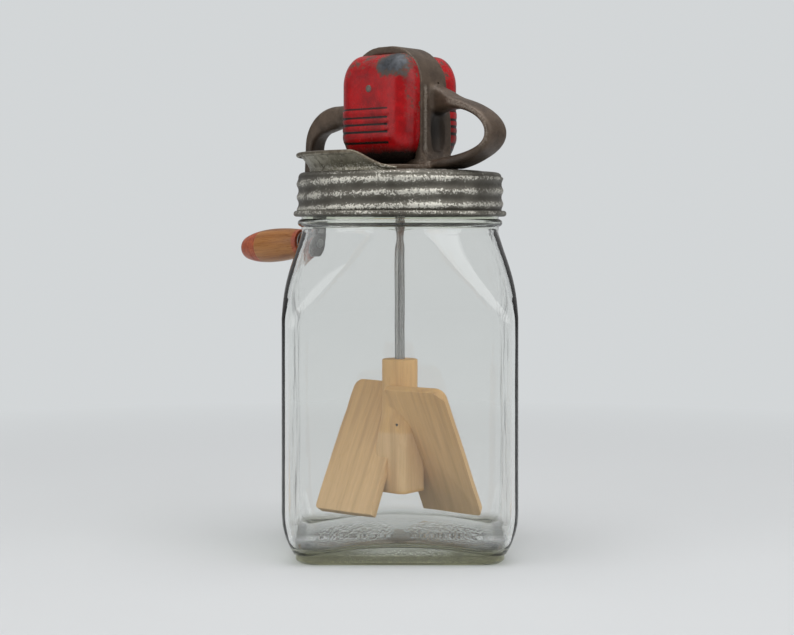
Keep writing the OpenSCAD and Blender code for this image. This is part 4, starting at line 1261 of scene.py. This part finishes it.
# Floor: a broad disc that keeps the shadow and fades into the backdrop tone
stageLook = {"tone": (0.65, 0.672, 0.682), "near": (0.615, 0.63, 0.64), "nearPale": (0.635, 0.65, 0.66),
             "reach": 9.0, "fadeFrom": 0.30, "fadeTo": 0.95}


def floorFinish():
    finish, tree, shader = newFinish("paleFloor")
    place = objectPlace(tree)
    plug(tree, shader.inputs["Roughness"], 0.85)
    cloud = spots(tree, place, 3, detail=2)
    ground = blendTone(tree, cloud, stageLook["near"], stageLook["nearPale"])
    tree.links.new(ground, shader.inputs["Base Color"])
    far = node(tree, "ShaderNodeVectorMath", {0: place}, operation='LENGTH').outputs["Value"]
    fade = rangeTo(tree, far, stageLook["fadeFrom"], stageLook["fadeTo"])
    glow = node(tree, "ShaderNodeEmission", {"Color": (*stageLook["tone"], 1), "Strength": 1.0})
    share = sums(tree, 'MULTIPLY', fade, seenRays(tree))
    both = node(tree, "ShaderNodeMixShader", {0: share, 1: shader.outputs[0], 2: glow.outputs[0]})
    tree.links.new(both.outputs[0], tree.nodes["Material Output"].inputs["Surface"])
    return finish


clearPick()
bpy.ops.mesh.primitive_circle_add(vertices=96, radius=stageLook["reach"], fill_type='NGON',
                                  location=(0, 0, 0))
floor = named("studio_floor")
floor.data.materials.append(floorFinish())

# Sky: soft light from all round, and the backdrop tone for what the camera sees
world = bpy.data.worlds.new("studioSky")
scene.world = world
world.use_nodes = True
skyTree = world.node_tree
skyBack = skyTree.nodes["Background"]
upward = heightOf(skyTree, node(skyTree, "ShaderNodeTexCoord").outputs["Generated"])
skyTone = steps(skyTree, rangeTo(skyTree, upward, -0.2, 1.0),
                (0.1, 0.26), (0.3, 0.30), (0.55, 0.36), (1.0, 0.46))
plug(skyTree, skyBack.inputs["Color"], skyTone)
plug(skyTree, skyBack.inputs["Strength"], 1.0)
backdrop = node(skyTree, "ShaderNodeBackground", {"Color": (*stageLook["tone"], 1), "Strength": 1.0})
bothSky = node(skyTree, "ShaderNodeMixShader",
               {0: seenRays(skyTree), 1: skyBack.outputs[0], 2: backdrop.outputs[0]})
skyTree.links.new(bothSky.outputs[0], skyTree.nodes["World Output"].inputs["Surface"])

# Soft lamps: name, place, size, power
lampAim = Vector((0, 0, 0.17))
lamps = (("keyRight", (1.35, -1.1, 1.2), (2.0, 1.8), 16),
         ("fillLeft", (-1.4, -1.0, 0.85), (1.8, 1.6), 9),
         ("topSoft", (0.0, -0.1, 1.7), (1.5, 1.3), 16))
for lampName, spot, size, power in lamps:
    lamp = bpy.data.lights.new(lampName, 'AREA')
    lamp.shape = 'RECTANGLE'
    lamp.size, lamp.size_y = size
    lamp.energy = power
    holder = bpy.data.objects.new(lampName, lamp)
    scene.collection.objects.link(holder)
    holder.location = spot
    holder.rotation_euler = (lampAim - Vector(spot)).to_track_quat('-Z', 'Y').to_euler()

# Camera at the photograph's angle: level, so that the uprights stay parallel, with the lens moved down
cameraLook = {"spot": (0, -1.1135, 0.2066), "horizon": 229.7, "swing": 0.1, "focal": 1706,
              "picture": (794, 635), "sensor": 36}
lens = bpy.data.cameras.new("photoCamera")
lens.sensor_width = cameraLook["sensor"]
lens.lens = cameraLook["focal"] * cameraLook["sensor"] / cameraLook["picture"][0]
lens.shift_y = (cameraLook["horizon"] - cameraLook["picture"][1] / 2) / cameraLook["picture"][0]
lens.clip_end = 50
camera = bpy.data.objects.new("photoCamera", lens)
scene.collection.objects.link(camera)
camera.location = cameraLook["spot"]
camera.rotation_euler = (math.pi / 2, 0, math.radians(cameraLook["swing"]))
scene.camera = camera
scene.view_settings.view_transform = 'Standard'
print("stage lit")
